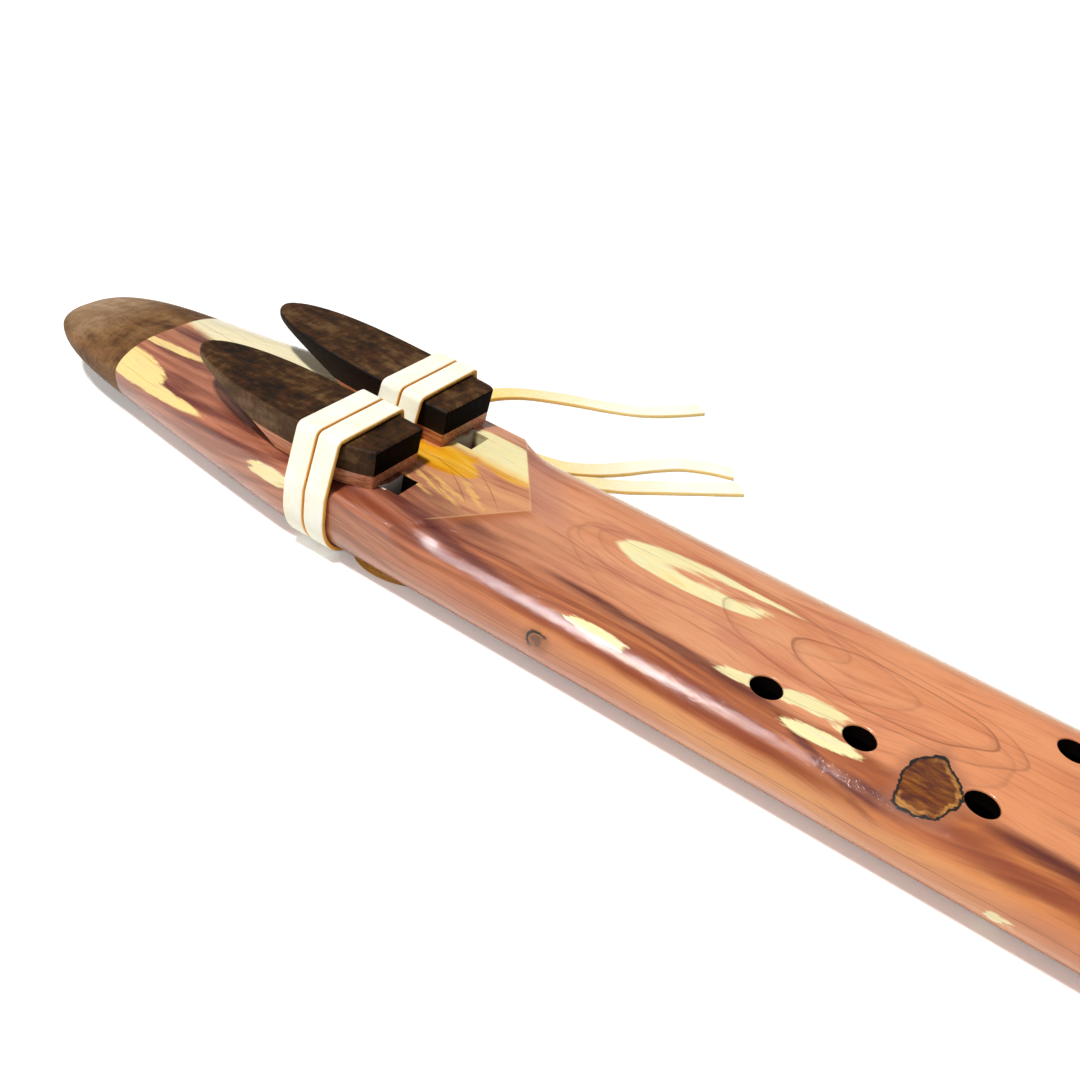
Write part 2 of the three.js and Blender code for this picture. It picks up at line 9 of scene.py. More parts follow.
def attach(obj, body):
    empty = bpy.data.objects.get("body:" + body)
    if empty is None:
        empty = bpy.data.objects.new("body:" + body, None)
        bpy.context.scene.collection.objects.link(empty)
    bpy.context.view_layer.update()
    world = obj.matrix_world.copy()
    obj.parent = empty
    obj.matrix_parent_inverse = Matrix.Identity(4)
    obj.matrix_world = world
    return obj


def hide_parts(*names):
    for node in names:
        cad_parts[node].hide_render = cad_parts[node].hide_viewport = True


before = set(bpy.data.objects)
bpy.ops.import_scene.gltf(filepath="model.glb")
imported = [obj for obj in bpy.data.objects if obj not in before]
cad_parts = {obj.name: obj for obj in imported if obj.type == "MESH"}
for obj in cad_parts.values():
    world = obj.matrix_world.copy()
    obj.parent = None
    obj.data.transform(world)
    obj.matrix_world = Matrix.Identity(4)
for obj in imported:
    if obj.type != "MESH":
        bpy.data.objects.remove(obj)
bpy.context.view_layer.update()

MM = 0.001

# Sizes shared with the CAD source, in millimetres
FOOT, JOINT, CAP = 318.0, 112.0, 43.0
MIDDLE = 81.5
HALF_WIDTH = 34.9
BOTTOM, SEAM, FOOT_TOP, NEST_TOP = 1.8, 14.5, 25.7, 27.0
LOWER_W, LOWER_H, FOOT_RW, FOOT_RH, NEST_R = 13.0, 15.0, 14.0, 8.9, 2.5
BAND_W, BAND_DROP = 7.9, 1.2
JOINT_HALF, TAPER_START, JOINT_RW, JOINT_RH, JOINT_DROP, JOINT_LIFT = 24.7, 36.0, 20.0, 11.0, 1.3, 1.2
NEST_POINT, SLOPE, RAMP, RAMP_END = 30.7, 0.71, 17.0, 86.0
BARREL, BORE, JOINT_BORE, CHAMBER_END = 18.0, 8.0, 12.5, 26.0
SOUND_LENGTH, SOUND_HALF, EDGE_THICK, EDGE_RAMP = 5.5, 4.75, 0.8, 5.0
EXIT_FRONT, EXIT_BACK, FLUE_BACK, FLUE_DEPTH = 31.5, 36.5, 30.5, 1.0
BREATH_OUT, BREATH_R, BREATH_LENGTH = 6.5, 3.2, 17.0
HOLE_R, HOLE_RIM_R = 4.35, 4.8
RIGHT_HOLES, LEFT_HOLES = (0.358, 0.437, 0.534, 0.641, 0.723, 0.808), (0.582, 0.664, 0.748)
SIDE_START = BOTTOM + LOWER_H
LACE_W, LACE_T, GAP, BLOCK_GAP, BEND = 7.2, 1.5, 0.3, 0.5, 1.6
SLOT_FRONT, SLOT_BACK, SLOT_HALF, SLOT_GAP = 13.3, 31.1, 2.9, 0.45
BLOCK_H, SPACER_H, SOLE, NOSE, SET_BACK = 12.7, 4.4, 33.0, 1.8, 6.0
BLOCK_TOP = NEST_TOP + BLOCK_H
# How far a cutter reaches past what it cuts
OVER = 4


def place(station):
    return station - MIDDLE


def mix(a, b, t):
    return a + (b - a) * t


# The camera, solved from the straight edges of the flute in the photograph
def make_camera():
    azimuth, pitch, roll = 2.00621135, 0.61896999, 0.22472350
    level = math.cos(pitch)
    ahead = Vector((math.cos(azimuth) * level, math.sin(azimuth) * level, -math.sin(pitch)))
    side = ahead.cross(Vector((0, 0, 1))).normalized()
    over = side.cross(ahead)
    right = math.cos(roll) * side + math.sin(roll) * over
    up = -math.sin(roll) * side + math.cos(roll) * over
    focal_px, photo_px, eye = 1114.618, 1080, Vector((64.847, -238.370, 206.176))
    data = bpy.data.cameras.new("camera")
    data.sensor_width = 36.0
    data.lens = focal_px / photo_px * data.sensor_width
    data.clip_start = 0.01
    camera = bpy.data.objects.new("camera", data)
    bpy.context.collection.objects.link(camera)
    turn = Matrix((right, up, -ahead)).transposed().to_4x4()
    camera.matrix_world = Matrix.Translation(eye * MM) @ turn
    bpy.context.scene.camera = camera


make_camera()


# Mesh helpers
def mesh_object(name, verts, faces, smooth_angle=40.0, attributes=None):
    mesh = bpy.data.meshes.new(name)
    mesh.from_pydata([tuple(float(c) * MM for c in v) for v in verts], [], [tuple(f) for f in faces])
    for key, values in (attributes or {}).items():
        mark(mesh, key, "POINT", [float(v) for v in values])
    mesh.update()
    obj = bpy.data.objects.new(name, mesh)
    bpy.context.collection.objects.link(obj)
    smooth(obj, smooth_angle)
    return obj


def mark(mesh, name, domain, values):
    mesh.attributes.new(name, "FLOAT", domain).data.foreach_set("value", values)


def smooth(obj, angle):
    obj.data.polygons.foreach_set("use_smooth", [True] * len(obj.data.polygons))
    obj.data.set_sharp_from_angle(angle=math.radians(angle))


def ring_faces(rings, count):
    """The faces between rings that have the same number of points and lie one after the other"""
    pairs = [(i, (i + 1) % count) for i in range(count)]
    starts = range(0, (rings - 1) * count, count)
    return [(r + i, r + j, r + count + j, r + count + i) for r in starts for i, j in pairs]


def loft(name, rings, smooth_angle=40.0, attributes=None):
    count = len(rings[0])
    verts = [p for ring in rings for p in ring]
    faces = ring_faces(len(rings), count)
    faces.append(tuple(reversed(range(count))))
    faces.append(tuple(range((len(rings) - 1) * count, len(rings) * count)))
    return mesh_object(name, verts, faces, smooth_angle, attributes)


def cut(obj, cutters, operation="DIFFERENCE", smooth_angle=40.0):
    for cutter in cutters:
        change = obj.modifiers.new("cut", "BOOLEAN")
        change.operation = operation
        change.solver = "MANIFOLD"
        change.object = cutter
        dg = bpy.context.evaluated_depsgraph_get()
        new = bpy.data.meshes.new_from_object(obj.evaluated_get(dg))
        obj.modifiers.clear()
        old = obj.data
        obj.data = new
        bpy.data.meshes.remove(old)
        data = cutter.data
        bpy.data.objects.remove(cutter)
        bpy.data.meshes.remove(data)
    smooth(obj, smooth_angle)


def box(low, high):
    xs, ys, zs = zip(low, high)
    verts = [(x, y, z) for x in xs for y in ys for z in zs]
    faces = [(0, 1, 3, 2), (4, 6, 7, 5), (0, 4, 5, 1), (2, 3, 7, 6), (0, 2, 6, 4), (1, 5, 7, 3)]
    return mesh_object("box", verts, faces)


def prism(outline, low, high, axis="y"):
    count = len(outline)
    lift = {"y": lambda p, h: (p[0], h, p[1]), "z": lambda p, h: (p[0], p[1], h)}[axis]
    verts = [lift(p, low) for p in outline] + [lift(p, high) for p in outline]
    faces = [(i, (i + 1) % count, (i + 1) % count + count, i + count) for i in range(count)]
    faces += [tuple(reversed(range(count))), tuple(range(count, 2 * count))]
    obj = mesh_object("prism", verts, faces)
    face_outwards(obj)
    return obj


def face_outwards(obj):
    bm = bmesh.new()
    bm.from_mesh(obj.data)
    bmesh.ops.recalc_face_normals(bm, faces=bm.faces)
    bm.to_mesh(obj.data)
    bm.free()


def circle(x, y, radius, steps):
    turn = np.linspace(0, 2 * math.pi, steps, endpoint=False)
    return [(x + radius * math.cos(a), y + radius * math.sin(a)) for a in turn]


def bore(stops):
    rings = [[(place(s), *p) for p in circle(y, SEAM, radius, 64)] for s, y, radius in stops]
    return loft("bore", rings)


def drill(x, y, stops):
    return loft("drill", [[(*p, height) for p in circle(x, y, radius, 72)] for height, radius in stops])


# The body, as one skin through sections that are finer than those of the CAD
def section(station, blend, taper, v_share):
    half_width = mix(HALF_WIDTH, JOINT_HALF, taper ** 1.1)
    top = mix(FOOT_TOP, NEST_TOP, blend) - JOINT_DROP * taper
    bottom = BOTTOM + JOINT_LIFT * taper
    round_w = mix(mix(FOOT_RW, NEST_R, blend), JOINT_RW, taper)
    shoulder = top - BAND_DROP * blend * (1 - taper)
    round_h = min(mix(mix(FOOT_RH, NEST_R, blend), JOINT_RH, taper), shoulder - SIDE_START - 0.4)
    band = mix(round_w + 1, max(BAND_W, round_w + 1), blend * (1 - taper))
    half = [(mix(0, half_width - band, t), top) for t in np.linspace(0, 1, 16)[1:]]
    half.append((mix(half_width - band, half_width - round_w, 0.5), mix(top, shoulder, 0.5)))
    for a in np.linspace(math.pi / 2, 0, 19):
        half.append((half_width - round_w * (1 - math.cos(a)), shoulder - round_h * (1 - math.sin(a))))
    for a in np.linspace(0, math.pi / 2, 22):
        half.append((half_width - LOWER_W * (1 - math.cos(a)), mix(SIDE_START, bottom, math.sin(a))))
    flat = half_width - LOWER_W
    half += [(mix(flat, 0, t), bottom) for t in np.linspace(0, 1, 8)[1:-1]]

    def spot(out, height, side):
        return (place(station - v_share * SLOPE * out), side * out, height)

    left = [spot(o, h, 1) for o, h in reversed(half)]
    right = [spot(o, h, -1) for o, h in half]
    return left + [spot(0, top, 1)] + right + [spot(0, bottom, 1)]


def body_skin():
    rings = []
    for s in np.linspace(1, 0, 20)[:-1]:
        rings.append(section(-mix(TAPER_START, JOINT, s), 1, s, 0))
    for t in np.linspace(0, 1, 20)[:-1]:
        rings.append(section(mix(-TAPER_START, NEST_POINT, t), 1, 0, t))
    for t in np.linspace(0, 1, 27)[:-1]:
        rings.append(section(NEST_POINT + RAMP * t, (1 - t) ** 3.1, 0, 1))
    for t in np.linspace(0, 1, 12)[:-1]:
        rings.append(section(mix(NEST_POINT + RAMP, RAMP_END, t), 0, 0, 1 - t))
    for x in np.linspace(RAMP_END, FOOT, 50):
        rings.append(section(x, 0, 0, 0))
    return loft("body", rings, 30)


def air_cuts(side):
    y, joint_y = side * BARREL, side * JOINT_BORE
    near, far = y - SOUND_HALF, y + SOUND_HALF
    ceiling, under_edge, half_way = NEST_TOP + OVER, NEST_TOP - EDGE_THICK, place(-SOUND_LENGTH / 2)
    cutters = [
        bore([(-SOUND_LENGTH, y, BORE), (FOOT + OVER, y, BORE)]),
        bore([(-JOINT - OVER, joint_y, BORE), (-JOINT, joint_y, BORE), (-CHAMBER_END, y, BORE)]),
        box((place(-SOUND_LENGTH), near, SEAM), (place(0), far, ceiling)),
        box((place(-EXIT_BACK), near, SEAM), (place(-EXIT_FRONT), far, ceiling)),
        prism([
            (half_way, under_edge), (half_way, SEAM), (place(EDGE_RAMP), SEAM),
            (place(EDGE_RAMP), SEAM + BORE - EDGE_THICK), (place(0), under_edge)], near, far),
    ]
    for share in RIGHT_HOLES if side < 0 else LEFT_HOLES:
        cutters.append(drill(place(FOOT * share), y, [
            (SEAM, HOLE_R), (FOOT_TOP - 0.55, HOLE_R), (FOOT_TOP - 0.2, HOLE_R + 0.1),
            (FOOT_TOP + 0.02, HOLE_RIM_R), (FOOT_TOP + OVER, 2 * OVER)]))
    return cutters


def slot_cut():
    front, back, half = place(-SLOT_FRONT), place(-SLOT_BACK), SLOT_HALF
    turn = np.linspace(-math.pi / 2, math.pi / 2, 12)
    outline = [(front - half + half * math.cos(a), half * math.sin(a)) for a in turn]
    outline += [(back + half - half * math.cos(a), -half * math.sin(a)) for a in turn]
    return prism(outline, -2, NEST_TOP + OVER, "z")


def make_body():
    upper = body_skin()
    upper.name = "cedar_upper"
    lower = upper.copy()
    lower.data = upper.data.copy()
    lower.name = "cedar_lower"
    bpy.context.collection.objects.link(lower)
    back, front, out, roof = place(-JOINT) - OVER, place(FOOT) + OVER, HALF_WIDTH + OVER, 60
    cut(upper, [box((back, -out, SEAM), (front, out, roof))], "INTERSECT", 30)
    cut(lower, [box((back, -out, -OVER), (front, out, SEAM))], "INTERSECT", 30)
    for half in (upper, lower):
        for side in (-1, 1):
            cut(half, air_cuts(side), smooth_angle=9)
        cut(half, [slot_cut()], smooth_angle=9)
        mark_painted_inside(half)
    return upper, lower


def mark_painted_inside(half):
    """Marks the faces inside a bore, a hole or the slot, which are painted dark as shade, and the back wall
    of each sound hole, which is painted pale as light falling on it
    """
    inner, painted_lit_wall = [], []
    for face in half.data.polygons:
        x, y, z = face.center / MM
        station, out = x + MIDDLE, abs(y)
        if station < -CHAMBER_END:
            axis = mix(BARREL, JOINT_BORE, (-CHAMBER_END - station) / (JOINT - CHAMBER_END))
            within = math.hypot(out - axis, z - SEAM) < BORE + 0.1 and station > -JOINT + 0.5
        else:
            within = out < BARREL + BORE + 0.2 and 6 < z < FOOT_TOP - 0.75 and station < FOOT - 0.5
        slotted = out < 3 and 2.6 < z < NEST_TOP - 0.6 and -SLOT_BACK - 0.2 < station < 0.2 - SLOT_FRONT
        window = abs(station + SOUND_LENGTH) < 0.3 and abs(out - BARREL) < 5 and z > 17
        painted_lit_wall.append(1.0 if window else 0.0)
        inner.append(1.0 if (within or slotted) and not window else 0.0)
    mark(half.data, "inner", "FACE", inner)
    mark(half.data, "painted_lit_wall", "FACE", painted_lit_wall)


# The mouthpiece
def make_cap():
    joint = section(-JOINT, 1, 1, 0)
    rings = []
    narrow, thin, bluntness = 0.2, 0.34, 3
    for share in np.sin(np.linspace(0.055, math.pi / 2, 44)) ** 2:
        blunt = (1 - (1 - share) ** bluntness) ** (1 / bluntness)
        across = blunt * (1 - narrow * (1 - share))
        upright = blunt * (1 - thin * (1 - share))
        x = place(-JOINT - CAP * (1 - share))
        rings.append([(x, p[1] * across, mix(SEAM, p[2], upright)) for p in joint])
    cap = loft("walnut_mouthpiece", rings, 40)
    pocket, tip = 4, -JOINT - CAP
    for side in (-1, 1):
        breath_y, joint_y = side * BREATH_OUT, side * JOINT_BORE
        cut(cap, [bore([
            (tip - OVER, breath_y, BREATH_R), (tip + BREATH_LENGTH, breath_y, BREATH_R),
            (-JOINT - pocket, joint_y, BORE), (-JOINT + OVER, joint_y, BORE)])], smooth_angle=40)
    return cap


# The blocks and their spacers, each with its own outline as in the CAD source
BLOCKS = {
    "right": dict(
        side=-1, length=74.8, half=13.0, inner=12.8, outer=8.6, shoulder=15.0, shift=-0.1, turn=-0.9,
        soft_inner=0.9, soft_outer=0.7),
    "left": dict(
        side=1, length=78.4, half=13.2, inner=12.2, outer=12.8, shoulder=23.0, shift=1.2, turn=-2.3,
        soft_inner=0.6, soft_outer=2.2),
}


def block_half(share, side, b):
    front = b["outer"] if side == b["side"] else b["inner"]
    shoulder = b["shoulder"] / b["length"]
    if share < shoulder:
        return mix(front, b["half"], math.sin(math.pi / 2 * share / shoulder))
    return b["half"] * math.sqrt(max(1 - ((share - shoulder) / (1 - shoulder)) ** 2.9, 0))


def block_side(side, inset, b):
    """One side of the outline from the front to the nose, with a softened front corner"""
    soft = b["soft_outer"] if side == b["side"] else b["soft_inner"]
    front = block_half(0, side, b) - inset
    points = [(-inset - soft * (1 - math.cos(a)), front - soft * (1 - math.sin(a)))
              for a in np.linspace(0, math.pi / 2, 9)]
    steps, nose_from = 64, 56
    for i in range(steps):
        share = math.sin(math.pi / 2 * i / steps)
        x = mix(-inset, inset - b["length"], share)
        if x < -inset - soft - 0.6:
            reach = block_half(share, side, b) - inset
            if i > nose_from:
                reach = block_half(share, side, b) * (1 - inset / b["half"]) - inset * 0.2
            points.append((x, max(reach, 0.05)))
    return points


def block_ring(height, inset, b):
    left, right = block_side(1, inset, b), block_side(-1, inset, b)
    for short, full in ((left, right), (right, left)):
        while len(short) < len(full):
            short.insert(9, tuple((np.array(short[8]) + np.array(short[9])) / 2))
    return ([(inset - b["length"], 0, height)] + [(x, -y, height) for x, y in reversed(right)]
            + [(x, y, height) for x, y in left])


def block_blank(name, b):
    ease = 1.0
    rings = [block_ring(h, mix(0.5, 0, h / BLOCK_H), b) for h in (0, 2.2, 4.4, 7, 9.5)]
    for a in np.linspace(0, math.pi / 2, 7):
        rings.append(block_ring(BLOCK_H - ease * (1 - math.sin(a)), ease * (1 - math.cos(a)), b))
    count = len(rings[0])
    verts = [p for ring in rings for p in ring]
    faces = ring_faces(len(rings), count)
    for r, flip in ((0, True), (len(rings) - 1, False)):
        base, n = r * count, (count - 1) // 2
        caps = [(base, base + 1, base + count - 1)]
        caps += [(base + k, base + k + 1, base + count - k - 1, base + count - k) for k in range(1, n)]
        faces += [tuple(reversed(f)) for f in caps] if flip else caps
    blank = mesh_object(name, verts, faces, 35)
    face_outwards(blank)
    rise = b["length"] - SOLE
    outline = [(-SOLE, 0)]
    for t in np.linspace(0, 1, 49)[1:]:
        outline.append((-SOLE - rise * t, (BLOCK_H - NOSE) * (1 - (1 - t) ** 1.9)))
    outline += [(-b["length"] - OVER, BLOCK_H - NOSE), (-b["length"] - OVER, -OVER), (-SOLE, -OVER)]
    cut(blank, [prism(outline, -20, 20)], smooth_angle=35)
    return blank


def slab(low, high):
    return box((-90, -20, low), (OVER, 20, high))


def make_block(name):
    b = BLOCKS[name]
    block = block_blank(f"walnut_{name}_block", b)
    cut(block, [slab(SPACER_H, BLOCK_H + OVER)], "INTERSECT", 35)
    spacer = block_blank(f"cedar_{name}_spacer", b)
    cut(spacer, [slab(-OVER, SPACER_H)], "INTERSECT", 35)
    cut(spacer, [box((-FLUE_BACK, -SOUND_HALF, -OVER), (OVER, SOUND_HALF, FLUE_DEPTH))], smooth_angle=35)
    pivot = FRONT_TURN + PITCH / 2
    for piece in (block, spacer):
        piece.data.transform(Matrix.Translation(Vector((pivot - SET_BACK, 0, 0)) * MM))
        piece.data.transform(Matrix.Rotation(math.radians(b["turn"]), 4, "Z"))
        seat = Vector((place(-pivot), b["side"] * (BARREL + b["shift"]), NEST_TOP))
        piece.data.transform(Matrix.Translation(seat * MM))
    return block, spacer


# The laces: flat strips with soft edges, drawn along a chain of points
def strip_cut(width, thick, crown):
    w, t, r = width / 2, thick / 2, min(0.55, thick * 0.42)
    points, shares = [], (0.2, 0.4, 0.6, 0.8)
    for cx, cy, a0 in ((w - r, t - r, 0), (r - w, t - r, 90), (r - w, r - t, 180), (w - r, r - t, 270)):
        if a0 == 90:
            points += [(mix(w - r, r - w, k), t + crown * math.sin(math.pi * k)) for k in shares]
        if a0 == 270:
            points += [(mix(r - w, w - r, k), -t) for k in shares]
        for a in np.linspace(a0, a0 + 90, 5):
            points.append((cx + r * math.cos(math.radians(a)), cy + r * math.sin(math.radians(a))))
    return points


def wander(seed, length, amount, period):
    rng = np.random.default_rng(seed)
    knots = max(int(length / period) + 3, 4)
    values = rng.uniform(-amount, amount, knots)
    places = np.linspace(0, length, knots)
    return lambda d: float(np.interp(d, places, values))


def sweep(name, path, along, frame_at, cut_at, width, marks=None):
    """Draws a strip's cut along a path. A frame holds the directions of its width and of its face"""
    rings, across = [], []
    for i, p in enumerate(path):
        wide, out = frame_at(i, path[min(i + 1, len(path) - 1)] - path[max(i - 1, 0)])
        points = cut_at(i)
        rings.append([p + wide * u + out * v for u, v in points])
        across += [u / (width / 2) for u, _ in points]
    attributes = {"across": across}
    for key, values in {"along": along, **(marks or {})}.items():
        attributes[key] = np.repeat(values, len(rings[0]))
    obj = loft(name, rings, 75, attributes)
    face_outwards(obj)
    smooth(obj, 75)
    return obj


def strip(name, path, widthways, seed, level_start=None, golden=(0, 0)):
    """A lace's strip. Without a direction for its width it lies flat on the table"""
    path = [np.array(p, float) for p in path]
    steps = [0.0]
    for a, b in zip(path, path[1:]):
        steps.append(steps[-1] + float(np.linalg.norm(b - a)))
    broad = wander(seed, steps[-1], 0.12, 9)
    bulge = wander(seed + 1, steps[-1], 0.05, 5)

    def frame_at(i, run):
        if widthways is None:
            wide = np.cross((0, 0, 1.0), run)
        else:
            wide = np.array(widthways, float)
            run = run * (1 - wide)
        if level_start is not None and i == 0:
            wide, run = np.array((-level_start, 0.0, 0.0)), np.array((0.0, level_start, 0.0))
        wide, run = wide / np.linalg.norm(wide), run / np.linalg.norm(run)
        return wide, np.cross(run, wide) if widthways is None else np.cross(wide, run)

    def cut_at(i):
        return strip_cut(LACE_W + 0.15 + broad(steps[i]), LACE_T + bulge(steps[i]) - 0.06, 0.1)

    # Painted shade: each tail is golden where it starts by the body and fades to cream along its length
    tone = [mix(*golden, min(max(d / steps[-1] - 0.25, 0) / 0.5, 1)) for d in steps]
    free = [1.0 if golden[0] > 0 else 0.0] * len(steps)
    return sweep(name, path, steps, frame_at, cut_at, LACE_W, {"golden": tone, "onward": free})


def arc(centre, radii, start, end, steps):
    return [(centre[0] + radii[0] * math.cos(a), centre[1] + radii[1] * math.sin(a))
            for a in np.linspace(start, end, steps + 1)]


def turn_outline(name):
    quarter, bend = math.pi / 2, (BEND, BEND)
    middle, reach = BARREL + BLOCKS[name]["shift"], BLOCKS[name]["half"] + BLOCK_GAP + LACE_T / 2
    lift = GAP + LACE_T / 2
    over, side, shoulder = BLOCK_TOP + lift, HALF_WIDTH + lift, NEST_R + lift
    table = LACE_T / 2
    points = arc((SLOT_FOOT, table + BEND), bend, -quarter, -2 * quarter, 7)
    points += [(SLOT_OUT, NEST_TOP)]
    points += arc((middle - reach + BEND, over - BEND), bend, 2 * quarter, quarter, 9)
    points += arc((middle + reach - BEND, over - BEND), bend, quarter, 0.2, 9)
    points += arc((side - shoulder, NEST_TOP - BAND_DROP - NEST_R), (shoulder, shoulder), 0.2, 0, 3)
    points += arc((HALF_WIDTH - LOWER_W, SIDE_START), (LOWER_W + lift, LOWER_H + lift), 0, -quarter, 24)
    return points


FRONT_TURN, PITCH = 18.3, 7.8
REAR_TURN = FRONT_TURN + PITCH
KNOT = REAR_TURN + PITCH + 3
FLAT_OUT, TAIL_OUT, KNOT_OUT = HALF_WIDTH - LOWER_W, 17, 32.3
SLOT_OUT = SLOT_HALF - SLOT_GAP - LACE_T / 2
SLOT_FOOT = SLOT_OUT + BEND


def stepped(path, step=1.2):
    out = [path[0]]
    for a, b in zip(path, path[1:]):
        a, b = np.array(a, float), np.array(b, float)
        count = max(int(math.ceil(np.linalg.norm(b - a) / step)), 1)
        out += [tuple(a + (b - a) * (k + 1) / count) for k in range(count)]
    return out


def softened(path, rounds=3):
    points = [np.array(p, float) for p in path]
    for _ in range(rounds):
        points = [points[0]] + [
            points[i] * 0.5 + (points[i - 1] + points[i + 1]) * 0.25 for i in range(1, len(points) - 1)
        ] + [points[-1]]
    return points


def on_barrel(side, station, spot):
    return (place(-station), side * spot[0], spot[1])


def right_lace():
    turn = turn_outline("right")
    back = (TAIL_OUT - SLOT_FOOT) / (FLAT_OUT - SLOT_FOOT)
    table = LACE_T / 2
    path = [on_barrel(-1, FRONT_TURN - PITCH * back, (TAIL_OUT, table))]
    for station in (FRONT_TURN, REAR_TURN):
        path += [on_barrel(-1, station, spot) for spot in turn]
    path += [
        on_barrel(-1, REAR_TURN + PITCH, (SLOT_FOOT, table)),
        on_barrel(1, KNOT, (FLAT_OUT, table)),
        on_barrel(1, KNOT, (KNOT_OUT - GAP, table)),
    ]
    return strip("lace_right", softened(stepped(path)), (1, 0, 0), 21)


def left_lace():
    turn = turn_outline("left")
    points = [on_barrel(1, s, spot) for s in (FRONT_TURN, REAR_TURN) for spot in turn][::-1]
    over_knot = 7.85
    first = next(i for i, p in enumerate(points) if p[2] > over_knot)
    climb = points[first:]
    foot = climb[0][2]
    above = next(i for i, p in enumerate(climb) if p[2] > NEST_TOP)
    lean = [(place(-mix(KNOT, REAR_TURN, (z - foot) / (NEST_TOP - foot))), y, z) for _, y, z in climb[:above]]
    path = lean + climb[above:] + [on_barrel(1, FRONT_TURN - PITCH, (FLAT_OUT, LACE_T / 2))]
    return strip("lace_left", softened(stepped(path)), (1, 0, 0), 31)


# The routes of the tails, as in the CAD source, from where each one starts
TAILS = {
    "right_tail": ((-94.05, -17.3, 0.75), [
        (0, 0, 0), (1.45, -3.0, 0), (4.65, -5.6, 0), (9.15, -6.9, 0), (14.55, -6.5, 0), (20.05, -4.4, 0),
        (27.05, -0.5, 0), (35.05, 4.1, 0), (42.05, 7.1, 0)]),
    "left_tail": ((-92, 22.2, 0.75), [
        (0, 0, 0), (1.1, 3.3, 0), (4.2, 10.8, 0), (10, 20.8, 0), (19, 31.6, 0), (30.1, 41.9, 0),
        (39.4, 49.3, 0), (49.1, 59.3, 0), (60.7, 71.1, 0), (70.9, 81.4, 0)]),
    "knot_back_tail": ((-118.4, 44.1, 2.55), [
        (0, 0, 0), (-0.3, 3.9, 0.05), (-1.5, 9.9, 0.2), (-3.4, 16.9, -0.15), (-4.8, 24.9, -1.15),
        (-4.9, 33.9, -1.72), (-1.9, 43.9, -1.78), (5.4, 53.9, -1.78), (15.9, 61.9, -1.78),
        (26.4, 68.4, -1.78), (35.9, 73.9, -1.78), (44.9, 80.9, -1.78), (54.9, 93.4, -1.78),
        (60.4, 101.9, -1.78)]),
    "knot_front_tail": ((-118.4, 44.1, 0.75), [
        (0, 0, 0), (0.5, 4.4, 0), (2.6, 9.2, 0), (6.8, 13.2, 0), (12.9, 15.5, 0), (21.4, 16.5, 0),
        (32.9, 17.7, 0), (43.4, 20.9, 0), (51.9, 27.4, 0), (59.2, 36.5, 0), (65.7, 46.9, 0), (73.2, 56.7, 0),
        (82.4, 63.4, 0), (90.9, 67.4, 0)]),
}


def curve_points(points, count):
    """Evenly spaced points on the same smooth curve that the CAD source draws, and its length"""
    points = np.array(points, float)
    chords = np.linalg.norm(np.diff(points, axis=0), axis=1) ** 0.5
    ticks = np.concatenate([[0], np.cumsum(chords)])
    ext = np.vstack([2 * points[0] - points[1], points, 2 * points[-1] - points[-2]])
    tick = np.concatenate([[-chords[0]], ticks, [ticks[-1] + chords[-1]]])
    out = []
    for t in np.linspace(0, ticks[-1], 1200):
        i = min(int(np.searchsorted(ticks, t, side="right")), len(points) - 1)
        p0, p1, p2, p3 = ext[i - 1:i + 3]
        t0, t1, t2, t3 = tick[i - 1:i + 3]

        def between(a, b, start, end):
            return (end - t) / (end - start) * a + (t - start) / (end - start) * b

        middle = between(p1, p2, t1, t2)
        before = between(between(p0, p1, t0, t1), middle, t0, t2)
        after = between(middle, between(p2, p3, t2, t3), t1, t3)
        out.append(between(before, after, t1, t2))
    out = np.array(out)
    d = np.concatenate([[0], np.cumsum(np.linalg.norm(np.diff(out, axis=0), axis=1))])
    even = np.linspace(0, d[-1], count)
    return np.stack([np.interp(even, d, out[:, k]) for k in range(3)], axis=1), float(d[-1])


def make_tails():
    tails = {}
    for seed, (node, (start, route)) in enumerate(TAILS.items()):
        points = [np.array(start) + np.array(p) for p in route]
        path, length = curve_points(points, 110)
        side = -1 if points[1][1] < points[0][1] else 1
        tail = strip(f"lace_{node}", path, None, 50 + seed, level_start=side, golden=(1.0, 0.0))
        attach(tail, "flute")
        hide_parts(node)
        tails[node] = tail
    return tails


tails = make_tails()
upper, lower = make_body()
cap = make_cap()
right_block, right_spacer = make_block("right")
left_block, left_spacer = make_block("left")
lace_r, lace_l = right_lace(), left_lace()


def make_knot():
    """Three turns of lace wound round each other behind the far barrel"""
    centre = Vector((place(-KNOT), KNOT_OUT, 3.4))
    turns, radius, sway, start, length, last = 3, 2.55, 0.15, 1.6, 8.2, 144
    width, axis = 2.6, np.array((0.0, 1.0, 0.0))
    path = []
    for k in range(last + 1):
        t = k / last
        angle = 2 * math.pi * turns * t + 0.4
        path.append(np.array((
            centre.x + (radius + sway * math.sin(6 * t)) * math.cos(angle),
            centre.y + start + length * t,
            centre.z + radius * math.sin(angle))))

    def frame_at(_, run):
        run = run / np.linalg.norm(run)
        wide = axis - run * float(np.dot(axis, run))
        wide /= np.linalg.norm(wide)
        return wide, np.cross(run, wide)

    along = [0.3 * k for k in range(last + 1)]
    return sweep("lace_knot_wrap", path, along, frame_at, lambda _: strip_cut(width, 1.25, 0.15), width)


knot = make_knot()


# Shader helpers
def linear(r, g, b):
    def one(c):
        c /= 255
        return c / 12.92 if c <= 0.04045 else ((c + 0.055) / 1.055) ** 2.4
    return (one(r), one(g), one(b), 1.0)


def put(socket, value):
    """Links another socket to this one, or sets its value"""
    if isinstance(value, bpy.types.NodeSocket):
        socket.id_data.links.new(value, socket)
    else:
        socket.default_value = value


def add_node(tree, kind, inputs, **values):
    made = tree.nodes.new(kind)
    for key, value in values.items():
        setattr(made, key, value)
    for key, value in inputs.items():
        put(made.inputs[key], value)
    return made


